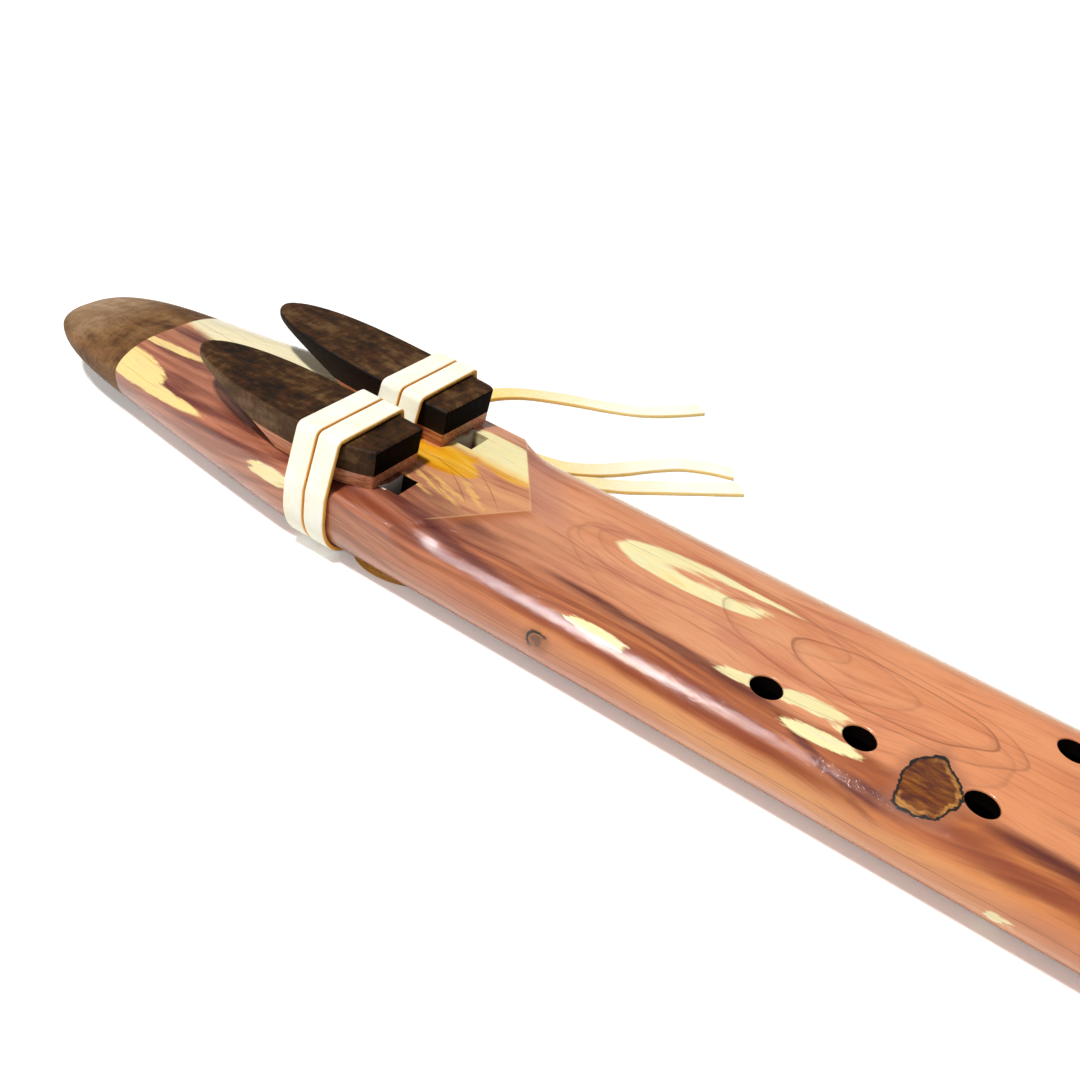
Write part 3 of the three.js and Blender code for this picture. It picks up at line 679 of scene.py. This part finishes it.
class Shader:
    """A material, its base colour so far and what puts nodes in its tree"""
    def __init__(self, name):
        self.material = bpy.data.materials.new(name)
        self.material.use_nodes = True
        self.tree = self.material.node_tree
        self.bsdf = self.tree.nodes["Principled BSDF"]
        self.base = None

    def finish(self, values):
        for name, value in {"Base Color": self.base, **values}.items():
            put(self.bsdf.inputs[name], value)
        return self.material

    def node(self, kind, inputs=None, **values):
        return add_node(self.tree, kind, inputs or {}, **values)

    def listed(self, kind, inputs, **values):
        return self.node(kind, dict(enumerate(inputs)), **values).outputs[0]

    def math(self, operation, a, b=0.0, c=0.0):
        return self.listed("ShaderNodeMath", (a, b, c), operation=operation)

    def times(self, a, b):
        return self.math("MULTIPLY", a, b)

    def plus(self, a, b):
        return self.math("ADD", a, b)

    def minus(self, a, b):
        return self.math("SUBTRACT", a, b)

    def size(self, a):
        return self.math("ABSOLUTE", a)

    def most(self, values):
        out = values[0]
        for value in values[1:]:
            out = self.math("MAXIMUM", out, value)
        return out

    def vector(self, operation, a, b=(0, 0, 0)):
        made = self.node("ShaderNodeVectorMath", {0: a, 1: b}, operation=operation)
        return made.outputs["Value" if operation == "LENGTH" else "Vector"]

    def mix(self, fac, a, b):
        """Mixes two colours, each a socket or red, green and blue from 0 to 255"""
        a, b = (c if isinstance(c, bpy.types.NodeSocket) else linear(*c) for c in (a, b))
        return self.node("ShaderNodeMix", {0: fac, 6: a, 7: b}, data_type="RGBA", blend_type="MIX").outputs[2]

    def cover(self, fac, colour):
        """Lays a colour over the base colour so far"""
        self.base = self.mix(fac, self.base, colour)

    def paint(self, fac, amount, colour):
        self.cover(self.times(fac, amount), colour)

    def range(self, *values):
        """Eases the first value from low and high, the next two, to the last two, or to 0 and 1"""
        values = (*values, 0.0, 1.0)[:5]
        return self.listed("ShaderNodeMapRange", values, interpolation_type="SMOOTHSTEP")

    def near(self, value, middle, wide, narrow):
        return self.range(self.size(self.minus(value, middle)), wide, narrow)

    def noise(self, vector, scale, detail, rough, shift=(0, 0, 0)):
        moved = self.node("ShaderNodeMapping", {"Vector": vector, "Scale": scale, "Location": shift})
        return self.node("ShaderNodeTexNoise", {
            "Vector": moved.outputs[0], "Scale": 1.0, "Detail": detail, "Roughness": rough,
            "Distortion": 0.0})

    def grain(self, *values):
        return self.noise(*values).outputs["Fac"]

    def attribute(self, name):
        return self.node("ShaderNodeAttribute", attribute_name=name).outputs["Fac"]

    def ramp(self, fac, stops):
        made = self.node("ShaderNodeValToRGB", {0: fac})
        elements = made.color_ramp.elements
        while len(elements) < len(stops):
            elements.new(0.5)
        for element, (position, colour) in zip(elements, stops):
            element.position = position
            element.color = linear(*colour)
        return made.outputs[0]

    def combine(self, x, y):
        return self.listed("ShaderNodeCombineXYZ", (x, y))

    def split(self, vector):
        return self.node("ShaderNodeSeparateXYZ", {0: vector}).outputs

    def distance(self, plane, x, y, radius_x, radius_y, turn):
        """How far out a point of the plane lies in an ellipse, where 1 is its edge"""
        made = self.node("ShaderNodeMapping", {
            "Vector": plane, "Location": (x, y, 0), "Rotation": (0, 0, math.radians(turn)),
            "Scale": (radius_x, radius_y, 1)}, vector_type="TEXTURE")
        return self.vector("LENGTH", made.outputs[0])

    def spot(self, plane, *ellipse):
        """1 inside an ellipse, its last number being how softly it fades across its edge"""
        *shape, soft = ellipse
        return self.range(self.distance(plane, *shape), 1 + soft, 1 - soft)

    def spots(self, plane, rows):
        return self.most([self.spot(plane, *row) for row in rows])

    def bump(self, height, strength, distance, normal=None):
        made = self.node("ShaderNodeBump", {"Strength": strength, "Distance": distance, "Height": height})
        if normal is not None:
            put(made.inputs["Normal"], normal)
        return made.outputs[0]


def object_mm(sh):
    return sh.vector("MULTIPLY", sh.node("ShaderNodeTexCoord").outputs["Object"], (1000, 1000, 1000))


def grain_plane(sh):
    """Station along the flute and girth round it, in millimetres, with the raw point"""
    point = object_mm(sh)
    x, y, z = sh.split(point)
    station = sh.plus(x, MIDDLE)
    drop = sh.math("MAXIMUM", sh.minus(FOOT_TOP, z), 0)
    girth = sh.plus(y, sh.times(sh.math("SIGN", y), sh.times(drop, 0.9)))
    return point, station, girth, z


def shifted(sh, flat, noise, along, across):
    """The plane moved about by a colour noise, by up to half of each amount"""
    swing = sh.vector("SUBTRACT", noise.outputs["Color"], (0.5, 0.5, 0.5))
    return sh.vector("ADD", flat, sh.vector("MULTIPLY", swing, (along, across, 0)))


def cedar_material():
    sh = Shader("cedar")
    point, station, girth, z = grain_plane(sh)
    flat = sh.combine(station, girth)
    # The grain flows round the big knot and wanders slowly along the board
    near = sh.spot(flat, 158, -21, 26, 20, 0, 0.9)
    push = sh.times(sh.plus(girth, 21), sh.times(near, -0.5))
    slow = sh.grain(flat, (0.011, 0.03, 1), 1, 0.4)
    ripple = sh.grain(flat, (0.035, 0.12, 1), 2, 0.5, (3, 7, 0))
    wave = sh.plus(sh.math("MULTIPLY_ADD", slow, 26, -13), sh.math("MULTIPLY_ADD", ripple, 3.2, -1.6))
    flow = sh.plus(sh.plus(girth, push), wave)
    run = sh.combine(sh.times(station, 0.03), flow)
    broad = sh.grain(run, (0.4, 0.09, 1), 2, 0.5)
    streak = sh.grain(run, (0.8, 0.34, 1), 3, 0.55, (11, 3, 0))
    fine = sh.grain(run, (2.4, 1.9, 1), 4, 0.62, (5, 9, 0))
    hair = sh.grain(run, (6, 6.5, 1), 3, 0.7, (2, 1, 0))
    cloud = sh.grain(flat, (0.045, 0.11, 1), 3, 0.55, (6, 2, 0))
    sh.base = sh.ramp(broad, [(0.28, (196, 112, 72)), (0.42, (224, 148, 104)), (0.58, (234, 162, 118)),
        (0.76, (206, 124, 88))])
    sh.paint(sh.range(streak, 0.54, 0.74), 0.55, (170, 88, 56))
    sh.paint(sh.range(cloud, 0.52, 0.7), 0.45, (202, 122, 98))
    sh.paint(sh.range(cloud, 0.46, 0.3), 0.4, (234, 172, 126))
    sh.paint(sh.range(station, 90, 170), 0.4, (246, 152, 92))
    # The near shoulder is orange-brown with dark streaks, and the lower flank golden
    uneven = sh.plus(girth, sh.math("MULTIPLY_ADD", ripple, 7, -3.5))
    shoulder = sh.times(sh.range(uneven, -20.5, -25), sh.range(uneven, -44, -35))
    toned = sh.ramp(streak, [(0.3, (198, 120, 60)), (0.46, (168, 86, 38)), (0.6, (130, 56, 22)),
        (0.74, (84, 26, 12))])
    sh.paint(shoulder, sh.range(station, -20, 30, 0.3, 0.85), toned)
    flank = sh.range(sh.size(uneven), 36, 43)
    golden = sh.mix(sh.range(broad, 0.4, 0.6), (232, 160, 88), (206, 124, 70))
    sh.paint(flank, 0.75, golden)
    # A pale pink band low on both flanks is a painted reflection of the table
    low = sh.range(sh.size(uneven), 47, 50)
    sh.paint(low, 0.7, (214, 156, 142))
    mauve = sh.times(sh.range(station, 84, -6), sh.range(girth, 4, -10))
    sh.paint(mauve, 0.7, sh.mix(sh.range(streak, 0.4, 0.6), (176, 108, 84), (122, 60, 44)))
    # Dark purple-brown heartwood streaks
    torn = sh.noise(flat, (0.07, 0.22, 1), 3, 0.55, (1, 5, 0))
    ragged = shifted(sh, flat, torn, 12, 2.6)
    dark = sh.spots(ragged, ((86, -21.2, 28, 2, -2, 0.7), (106, -22.4, 12, 2.4, -6, 0.7),
        (64, -19.6, 16, 1.3, -2, 0.8), (131, -31, 17, 1.7, -27, 0.6), (146, -34.5, 10, 3.2, 0, 0.7),
        (190, -24.6, 17, 2.8, -3, 0.7), (20, -27.5, 20, 1.8, -8, 0.8), (12, -17, 18, 2.6, -6, 0.9),
        (2, -24, 16, 1.8, 0, 0.9), (-60, -27, 40, 2.2, 3, 0.9), (-90, -25, 14, 4.6, 6, 0.6),
        (-62, -35, 24, 1.6, 0, 0.8), (12, 24, 12, 2.6, 0, 0.9), (-101, 1, 14, 3.4, 0, 0.7),
        (-98, -12.5, 18, 1.8, 0, 0.8), (-24, -30, 14, 2.2, 4, 0.9), (250, 12, 42, 3.2, 4, 0.9),
        (262, -8, 36, 2.6, -5, 0.9), (214, -12, 20, 2.2, -4, 0.9)))
    russet = sh.spots(ragged, ((42, -32.4, 28, 2.2, -5, 0.8), (95, -30.6, 22, 1.8, -1, 0.7),
        (74, -37, 40, 1.7, -2, 0.9), (120, -38, 22, 2.4, -4, 0.9), (178, -33, 26, 3.2, -3, 0.9),
        (216, -33, 30, 2.6, 0, 0.9), (-6, -31, 18, 2, 0, 0.9)))
    grainy = sh.range(sh.plus(sh.times(fine, 0.5), sh.times(streak, 0.5)), 0.34, 0.6)
    grainy = sh.math("MULTIPLY_ADD", grainy, 0.4, 0.6)
    sh.paint(sh.times(russet, grainy), 0.85, (138, 58, 18))
    sh.paint(dark, grainy, (92, 32, 26))
    # The far shoulder is painted paler towards its edge, a painted reflection of the bright surroundings
    painted_far_reflection = sh.times(sh.range(uneven, 24, 34), sh.range(station, 24, 60))
    sh.paint(painted_far_reflection, 0.75, (255, 226, 186))
    add_sapwood(sh, flat, fine, streak, station, girth)
    # Fine grain everywhere and a few thin growth lines
    lines = sh.range(sh.math("SINE", sh.times(flow, 1.25)), 0.93, 1)
    lines = sh.times(lines, sh.range(cloud, 0.42, 0.56))
    sh.paint(lines, 0.3, (140, 70, 46))
    sh.paint(sh.range(fine, 0.48, 0.72), 0.22, (150, 78, 50))
    sh.paint(sh.range(hair, 0.52, 0.76), 0.16, (120, 58, 36))
    add_growth_ovals(sh, flat)
    add_knots(sh, flat)
    # The glue seam, a painted highlight along the crest at the edge of the nest, a pale painted light on the
    # back wall of each sound hole and painted shade, nearly black, inside the holes
    seam = sh.near(z, SEAM, 0.2, 0.05)
    sh.paint(seam, 0.55, (84, 40, 26))
    # A painted highlight: a light tan line along the crest at the front edge of the nest
    reach = sh.plus(station, sh.times(sh.size(girth), SLOPE))
    rim = sh.near(reach, NEST_POINT - 0.1, 0.5, 0.15)
    rim = sh.times(rim, sh.range(sh.size(girth), 27, 24))
    sh.paint(rim, 0.3, (246, 196, 140))
    # Painted light on the sound hole's back wall, then painted shade inside the bores, holes and slot
    sh.cover(sh.attribute("painted_lit_wall"), (255, 240, 226))
    inner = sh.attribute("inner")
    sh.cover(inner, (12, 5, 3))
    peel = sh.grain(point, (0.5, 0.5, 0.5), 1, 0.5)
    speck = sh.grain(point, (1.9, 1.9, 1.9), 2, 0.65, (5, 5, 5))
    return sh.finish({
        "Roughness": sh.range(fine, 0.3, 0.7, 0.4, 0.55), "Specular IOR Level": 0.3,
        "Coat Weight": sh.math("MULTIPLY_ADD", inner, -0.95, 0.95), "Coat Roughness": 0.1,
        "Normal": sh.bump(hair, 0.25, 0.00006),
        "Coat Normal": sh.bump(speck, 0.8, 0.00011, sh.bump(peel, 0.3, 0.00014))})


def add_sapwood(sh, flat, fine, streak, station, girth):
    soft = sh.noise(flat, (0.1, 0.34, 1), 3, 0.55, (8, 2, 0))
    sharp = sh.noise(flat, (0.22, 0.9, 1), 3, 0.6, (2, 9, 0))
    calm = shifted(sh, flat, soft, 4, 1.1)
    frayed = shifted(sh, calm, sharp, 9, 1.3)
    # The lens, with a brown wedge that runs into it from the right and frayed right ends
    lens = sh.spot(calm, 81, 8.9, 25, 7.4, 3, 0.05)
    gap = sh.spots(frayed, ((105, 12.2, 27, 1.7, 2, 0.2), (81, 9, 8, 1.6, 2, 0.5), (113, 5, 12, 9, 0, 0.15),
        (92, 9.6, 7, 1.2, 3, 0.5)))
    upper = sh.spot(calm, 88, 14.6, 22, 1.25, 1.5, 0.2)
    lens = sh.most([sh.times(lens, sh.minus(1, gap)), upper])
    rest = sh.spots(frayed, ((70.5, -31.2, 9, 2.4, 0, 0.12), (114, -18.4, 14, 2.3, 9, 0.1),
        (126, -15.8, 9, 3, 6, 0.14), (131, -25.4, 10.5, 2.6, 5, 0.12), (137, -19.4, 5, 1.2, -14, 0.3),
        (-106, -24.5, 15, 6.4, -12, 0.1), (-94, -30.6, 24, 2.6, -3, 0.14), (-103, -10, 15, 1.8, 3, 0.2),
        (-84, 17, 48, 15, -4, 0.12), (-37, -39, 9, 2.4, 0, 0.14), (183, -47, 3.4, 1, 0, 0.2),
        (232, 14, 22, 3.2, 4, 0.12), (286, -24, 26, 3.4, -3, 0.12), (-50, 46, 30, 5, 0, 0.2)))
    cream = sh.ramp(fine, [(0.3, (252, 222, 146)), (0.5, (255, 244, 184)), (0.72, (255, 252, 214))])
    golden = sh.times(sh.range(station, -30, -60, 0, 0.55), sh.range(girth, 2, -4))
    whiter = sh.times(sh.range(station, -30, -60, 0, 0.6), sh.range(girth, 2, 8))
    deeper = sh.mix(whiter, sh.mix(golden, cream, (246, 196, 96)), (255, 244, 212))
    sh.cover(sh.most([lens, rest]), deeper)
    # The nest: gold by the blocks, cream towards the far crest, slanting gold streaks below
    out = sh.size(girth)
    reach = sh.plus(station, sh.times(out, SLOPE))
    on_nest = sh.times(sh.range(reach, NEST_POINT + 0.1, NEST_POINT - 0.3), sh.range(out, 26.6, 25.8))
    # The ramp below the crest is painted in two tones, partly the wood's colour and partly painted light:
    # mauve with a painted sheen on the far side, darker brown with painted shade on the near side
    over_ramp = sh.minus(sh.range(reach, NEST_POINT - 0.3, NEST_POINT + 0.1), sh.range(reach, 37, 50))
    over_ramp = sh.times(over_ramp, sh.range(out, 29, 24))
    mauve = sh.times(over_ramp, sh.range(girth, -5, 3))
    sh.paint(mauve, 0.6, (202, 138, 116))
    shaded_ramp_near = sh.times(sh.times(sh.range(reach, NEST_POINT - 0.3, NEST_POINT + 0.1),
        sh.range(reach, 35.5, 31)), sh.times(sh.range(girth, 2, -3), sh.range(out, 24, 18)))
    sh.paint(shaded_ramp_near, 0.65, (176, 96, 40))
    gold = sh.spots(calm, ((-3, 1.6, 13, 5.6, 4, 0.1), (-22, 2, 14, 6, 0, 0.2), (-1, 7, 7, 4, 20, 0.3)))
    sunny = sh.spots(calm, ((10, 17.6, 17, 8.6, -20, 0.1), (-2, 14, 6, 8, 0, 0.2)))
    slants = sh.spots(frayed, ((7, -8.8, 8.5, 0.8, -17, 0.5), (3.5, -10.8, 12, 1, -16, 0.5),
        (14, -6.2, 7.5, 0.9, -33, 0.5), (-3, -13.4, 8, 0.7, -14, 0.5)))
    tan = sh.ramp(streak, [(0.35, (232, 168, 112)), (0.55, (214, 146, 104)), (0.7, (170, 100, 66))])
    mid = sh.spot(calm, 15, -2, 22, 15, -30, 0.5)
    sh.paint(sh.times(mid, on_nest), 0.75, tan)
    amber = sh.ramp(streak, [(0.32, (210, 128, 8)), (0.5, (246, 176, 20)), (0.66, (252, 204, 84))])
    sh.paint(gold, on_nest, amber)
    sh.paint(sunny, on_nest, sh.mix(sh.range(girth, 8, 15), amber, cream))
    sh.paint(sh.times(slants, on_nest), 0.85, (244, 190, 110))
    bent = sh.vector("ADD", flat, sh.combine(sh.times(sh.times(girth, girth), 0.02), 0))
    cracks = sh.spots(bent, ((10, -6, 9, 0.2, -34, 0.6), (17, -1, 8, 0.2, -38, 0.6),
        (3, -9.4, 12, 0.2, -20, 0.6), (3, 0, 9, 0.24, -12, 0.6)))
    sh.paint(sh.times(cracks, on_nest), 0.5, (120, 66, 26))


def add_growth_ovals(sh, flat):
    bend = sh.noise(flat, (0.03, 0.06, 1), 1, 0.4, (4, 4, 0))
    calm = shifted(sh, flat, bend, 14, 7)
    for x, g, rx, rg, turn, depth in ((140, 3, 27, 11, -3, 0.6), (133, 3, 42, 14.5, -2, 0.35),
            (88, 8, 38, 10.5, 2, 0.22), (96, 4, 52, 15, -1, 0.2), (108, -2, 66, 19, -3, 0.2)):
        off = sh.minus(sh.distance(calm, x, g, rx, rg, turn), 1)
        width = 0.32 / rg
        edge = sh.range(sh.size(off), width, width * 0.2)
        shade = sh.times(sh.range(off, -4 * width, 0), sh.range(off, width, 0))
        sh.paint(sh.most([edge, sh.times(shade, 0.4)]), depth, (136, 74, 44))


def add_knots(sh, flat):
    crumb = sh.noise(flat, (0.45, 0.45, 1), 3, 0.6, (2, 3, 0))
    wood = sh.grain(flat, (0.16, 0.5, 1), 4, 0.65, (9, 9, 0))
    rough = shifted(sh, flat, crumb, 2.6, 2.6)

    def around(x, g, radius_x, radius_g):
        """Where a point lies from the middle of an ellipse, and how far, in shares of its radii"""
        from_middle = sh.vector("SUBTRACT", rough, (x, g, 0))
        local = sh.vector("MULTIPLY", from_middle, (1 / radius_x, 1 / radius_g, 1))
        along, across, _ = sh.split(local)
        return along, across, sh.vector("LENGTH", local)

    x, g, d = around(157.8, -22.2, 6.9, 11.6)
    turn = sh.math("ARCTAN2", g, x)
    swell = 1.0
    for waves, start, amount in ((2, 0.6, 0.05), (3, 2.1, 0.07), (5, 0.4, 0.05), (8, 1.7, 0.035)):
        wave = sh.math("SINE", sh.math("MULTIPLY_ADD", turn, waves, start))
        swell = sh.plus(swell, sh.times(wave, amount))
    d = sh.math("DIVIDE", d, swell)
    sh.paint(sh.range(d, 1.6, 1), 0.55, (168, 104, 76))
    core = sh.ramp(wood, [(0.3, (58, 16, 0)), (0.44, (100, 42, 2)), (0.58, (134, 72, 8)),
        (0.76, (182, 118, 34))])
    side = sh.near(turn, 0.5, 1.5, 1.1)
    low_side = sh.range(sh.size(sh.plus(turn, 1.9)), 0.8, 0.5)
    inside = sh.near(d, 0.86, 0.1, 0.02)
    lit = sh.times(sh.most([side, low_side]), sh.range(wood, 0.36, 0.6, 0.25, 1))
    core = sh.mix(sh.times(inside, lit), core, (196, 136, 60))
    sh.cover(sh.range(d, 1.02, 0.97), core)
    ring = sh.near(d, 0.985, 0.065, 0.03)
    sh.cover(ring, (14, 8, 3))
    # The small knot low on the near side is only part of a ring
    x, g, d = around(57, -43.4, 2.9, 2.5)
    sh.paint(sh.range(d, 1.9, 0.8), 0.6, (150, 88, 36))
    sh.paint(sh.range(d, 0.8, 0.4), 0.7, (88, 46, 14))
    part = sh.range(sh.minus(g, x), -0.7, 0.3)
    ring = sh.near(d, 0.95, 0.24, 0.08)
    sh.paint(ring, part, (30, 16, 4))


def walnut_material(name, tone):
    """Matt walnut. The tone holds the deep, middle and light colours and the two painted colours of the
    flank, which stand in for the light and shade on it
    """
    sh = Shader(name)
    point = object_mm(sh)
    deep, middle, light, painted_flank_colour, painted_flank_light = tone
    patch = sh.grain(point, (0.06, 0.14, 0.14), 4, 0.6, (2, 4, 1))
    mottle = sh.grain(point, (0.26, 0.4, 0.4), 5, 0.6, (7, 1, 3))
    pores = sh.grain(point, (0.7, 4.2, 4.2), 3, 0.6)
    both = sh.plus(sh.times(patch, 0.6), sh.times(mottle, 0.4))
    curl = sh.grain(point, (0.55, 0.1, 0.1), 3, 0.6, (3, 3, 3))
    both = sh.plus(both, sh.math("MULTIPLY_ADD", curl, 0.24, -0.12))
    sh.base = sh.ramp(both, [(0.38, deep), (0.53, middle), (0.7, light)])
    sh.paint(sh.range(mottle, 0.54, 0.68), 0.35, (92, 40, 28))
    # The flank's two colours are painted light and shade
    flank = sh.attribute("flank")
    sh.cover(flank, sh.mix(sh.range(both, 0.4, 0.62), painted_flank_colour, painted_flank_light))
    sh.paint(sh.range(pores, 0.56, 0.72), 0.55, (24, 13, 6))
    # The front faces are darker end grain, with painted shade over it that makes them nearly black
    shaded_end_grain = sh.attribute("shaded_end_grain")
    sh.cover(shaded_end_grain, sh.mix(sh.range(mottle, 0.4, 0.6), (4, 2, 1), (14, 8, 4)))
    return sh.finish({
        "Roughness": sh.range(pores, 0.3, 0.7, 0.5, 0.68),
        "Specular IOR Level": sh.math("MULTIPLY_ADD", shaded_end_grain, -0.2, 0.22),
        "Normal": sh.bump(pores, 0.5, 0.00012, sh.bump(mottle, 0.35, 0.0004))})


def spacer_material():
    sh = Shader("spacer_cedar")
    point = object_mm(sh)
    grain = sh.grain(point, (0.06, 0.9, 1.4), 4, 0.6, (1, 1, 5))
    fine = sh.grain(point, (0.3, 4, 4), 3, 0.6, (6, 2, 5))
    sh.base = sh.ramp(grain, [(0.3, (132, 64, 34)), (0.5, (186, 112, 72)), (0.7, (214, 150, 108))])
    sh.paint(sh.range(fine, 0.5, 0.75), 0.4, (104, 50, 30))
    return sh.finish({
        "Roughness": 0.42, "Coat Weight": 0.35, "Coat Roughness": 0.2, "Normal": sh.bump(fine, 0.4, 0.0001)})


def leather_material():
    sh = Shader("deerskin")
    point = object_mm(sh)
    across = sh.attribute("across")
    nap = sh.grain(point, (2.2, 2.2, 2.2), 4, 0.7)
    blotch = sh.grain(point, (0.16, 0.16, 0.16), 3, 0.6, (3, 3, 3))
    sh.base = sh.ramp(blotch, [(0.3, (255, 250, 226)), (0.55, (255, 255, 240)), (0.75, (255, 255, 250))])
    sh.paint(sh.range(nap, 0.45, 0.7), 0.08, (240, 214, 150))
    # Painted shade: golden where the tails start, with deeper cut edges there
    golden = sh.attribute("golden")
    sh.cover(golden, sh.mix(sh.range(nap, 0.4, 0.65), (252, 228, 118), (236, 188, 70)))
    edge = sh.range(sh.size(across), 0.9, 0.985)
    rim = sh.mix(sh.times(golden, 1.2), (240, 206, 130), (206, 142, 44))
    onward = sh.attribute("onward")
    rim = sh.mix(onward, (246, 182, 70), rim)
    sh.paint(edge, 0.95, rim)
    wide = sh.grain(point, (0.5, 0.5, 0.5), 3, 0.6, (1, 8, 3))
    return sh.finish({
        "Roughness": 0.85, "Sheen Weight": 0.05, "Specular IOR Level": 0.2,
        "Normal": sh.bump(nap, 0.35, 0.00015, sh.bump(wide, 0.35, 0.0004))})


def mark_painted_flank(obj, weigh, front=False):
    """Stores how much of the flank's painted light and shade shows at each point, and which faces are end
    grain, painted in shade
    """
    mesh = obj.data
    flank = [weigh(v.co / MM, mesh.vertex_normals[v.index].vector) for v in mesh.vertices]
    mark(mesh, "flank", "POINT", flank)
    mark(mesh, "shaded_end_grain", "FACE", [1.0 if front and face.normal.x > 0.8 else 0.0 for face in mesh.polygons])


def ease_step(low, high, value):
    t = min(max((value - low) / (high - low), 0), 1)
    return t * t * (3 - 2 * t)


# Where a flank's painted light and shade shows: a painted reflection on the right block's near side towards
# its nose, a painted shadow on the left block's near side, a painted sheen on the mouthpiece's top towards
# its tip
mark_painted_flank(right_block, lambda p, n: ease_step(0.35, 0.8, -n.y) * ease_step(-98, -118, p.x), True)
mark_painted_flank(left_block, lambda p, n: ease_step(0.3, 0.75, -n.y), True)
mark_painted_flank(cap, lambda p, n: ease_step(-0.1, 0.5, n.z - 0.6) * ease_step(-205, -225, p.x))

cedar = cedar_material()
# The blocks' walnut has a painted reflection on the right block's near flank. Its copy for the left block has
# a painted shadow on the flank
walnut = walnut_material("walnut", ((26, 12, 3), (66, 40, 12), (118, 90, 54), (74, 48, 22), (110, 84, 56)))
shaded_walnut = walnut_material("walnut_shaded_flank", ((28, 13, 4), (68, 42, 16), (120, 92, 58), (7, 3, 1),
    (20, 10, 5)))
# The mouthpiece's walnut is a lighter copy of the same wood, painted light, with a painted sheen on top
# towards its tip
lit_cap_walnut = walnut_material("walnut_cap_lit", ((78, 50, 26), (122, 86, 50), (154, 118, 80), (150, 118, 86),
    (178, 150, 120)))
spacer_cedar, deerskin = spacer_material(), leather_material()

for piece, node, body, slot, material in (
        (upper, "body_upper_half", "flute", "cedar", cedar),
        (lower, "body_lower_half", "flute", "cedar", cedar),
        (cap, "mouthpiece", "flute", "walnut", lit_cap_walnut),
        (right_block, "right_block", "right_block", "walnut", walnut),
        (left_block, "left_block", "left_block", "walnut", shaded_walnut),
        (right_spacer, "right_spacer", "right_block", "spacer_cedar", spacer_cedar),
        (left_spacer, "left_spacer", "left_block", "spacer_cedar", spacer_cedar),
        (lace_r, "right_lace", "flute", "deerskin", deerskin),
        (lace_l, "left_lace", "flute", "deerskin", deerskin),
        (knot, "lace_knot", "flute", "deerskin", deerskin)):
    piece.data.materials.clear()
    piece.data.materials.append(material)
    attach(piece, body)
    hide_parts(node)
for tail in tails.values():
    tail.data.materials.append(deerskin)


# The table, the lamps and the white surroundings
def make_stage():
    reach = 3000
    verts = [(-reach, -reach, 0), (reach, -reach, 0), (reach, reach, 0), (-reach, reach, 0)]
    floor = mesh_object("floor", verts, [(0, 1, 2, 3)])
    sh = Shader("floor")
    material = sh.finish({"Base Color": (0.93, 0.93, 0.925, 1), "Roughness": 0.9, "Specular IOR Level": 0.05})
    rays = sh.node("ShaderNodeLightPath")
    glow = sh.node("ShaderNodeEmission", {
        "Color": (1, 1, 1, 1), "Strength": sh.times(rays.outputs["Is Camera Ray"], FLOOR_GLOW)})
    both = sh.listed("ShaderNodeAddShader", (sh.bsdf.outputs[0], glow.outputs[0]))
    put(sh.tree.nodes["Material Output"].inputs[0], both)
    floor.data.materials.append(material)
    world = bpy.data.worlds.new("world")
    world.use_nodes = True
    tree = world.node_tree
    rays = add_node(tree, "ShaderNodeLightPath", {})
    level = AMBIENT
    for ray, strength in (("Is Glossy Ray", GLOSSY), ("Is Camera Ray", 1.0)):
        pick = {"Value": rays.outputs[ray], "To Min": level, "To Max": strength}
        level = add_node(tree, "ShaderNodeMapRange", pick).outputs[0]
    put(tree.nodes["Background"].inputs["Color"], (1, 1, 1, 1))
    put(tree.nodes["Background"].inputs["Strength"], level)
    bpy.context.scene.world = world


def lamp(name, kind, place_at, aim, energy, colour, shine=True, light=True, **settings):
    data = bpy.data.lights.new(name, kind)
    data.energy, data.color = energy, colour
    for key, value in settings.items():
        setattr(data, key, value)
    obj = bpy.data.objects.new(name, data)
    obj.location = place_at
    obj.visible_glossy, obj.visible_diffuse = shine, light
    obj.rotation_euler = (Vector(aim) - obj.location).to_track_quat("-Z", "Y").to_euler()
    bpy.context.collection.objects.link(obj)


# How bright the table looks to the camera by itself, the light from all round and its reflection
FLOOR_GLOW, AMBIENT, GLOSSY = 0.26, 0.17, 0.28
make_stage()
lamp("overhead", "SUN", (-0.12, -0.32, 0.94), (0, 0, 0), 2.95, (1, 0.985, 0.96), False, angle=math.radians(6))
lamp("over_near", "AREA", (-0.27, -0.36, 1.0), (0.0, -0.02, 0.02), 8.4, (1, 0.97, 0.99), light=False,
     shape="RECTANGLE", size=0.1, size_y=0.2)
lamp("mouth_end", "AREA", (-0.75, -0.35, 0.3), (-0.2, 0, 0.02), 1.2, (1, 0.95, 0.88), False,
     shape="RECTANGLE", size=0.4, size_y=0.3)

bpy.context.scene.view_settings.view_transform = "Standard"
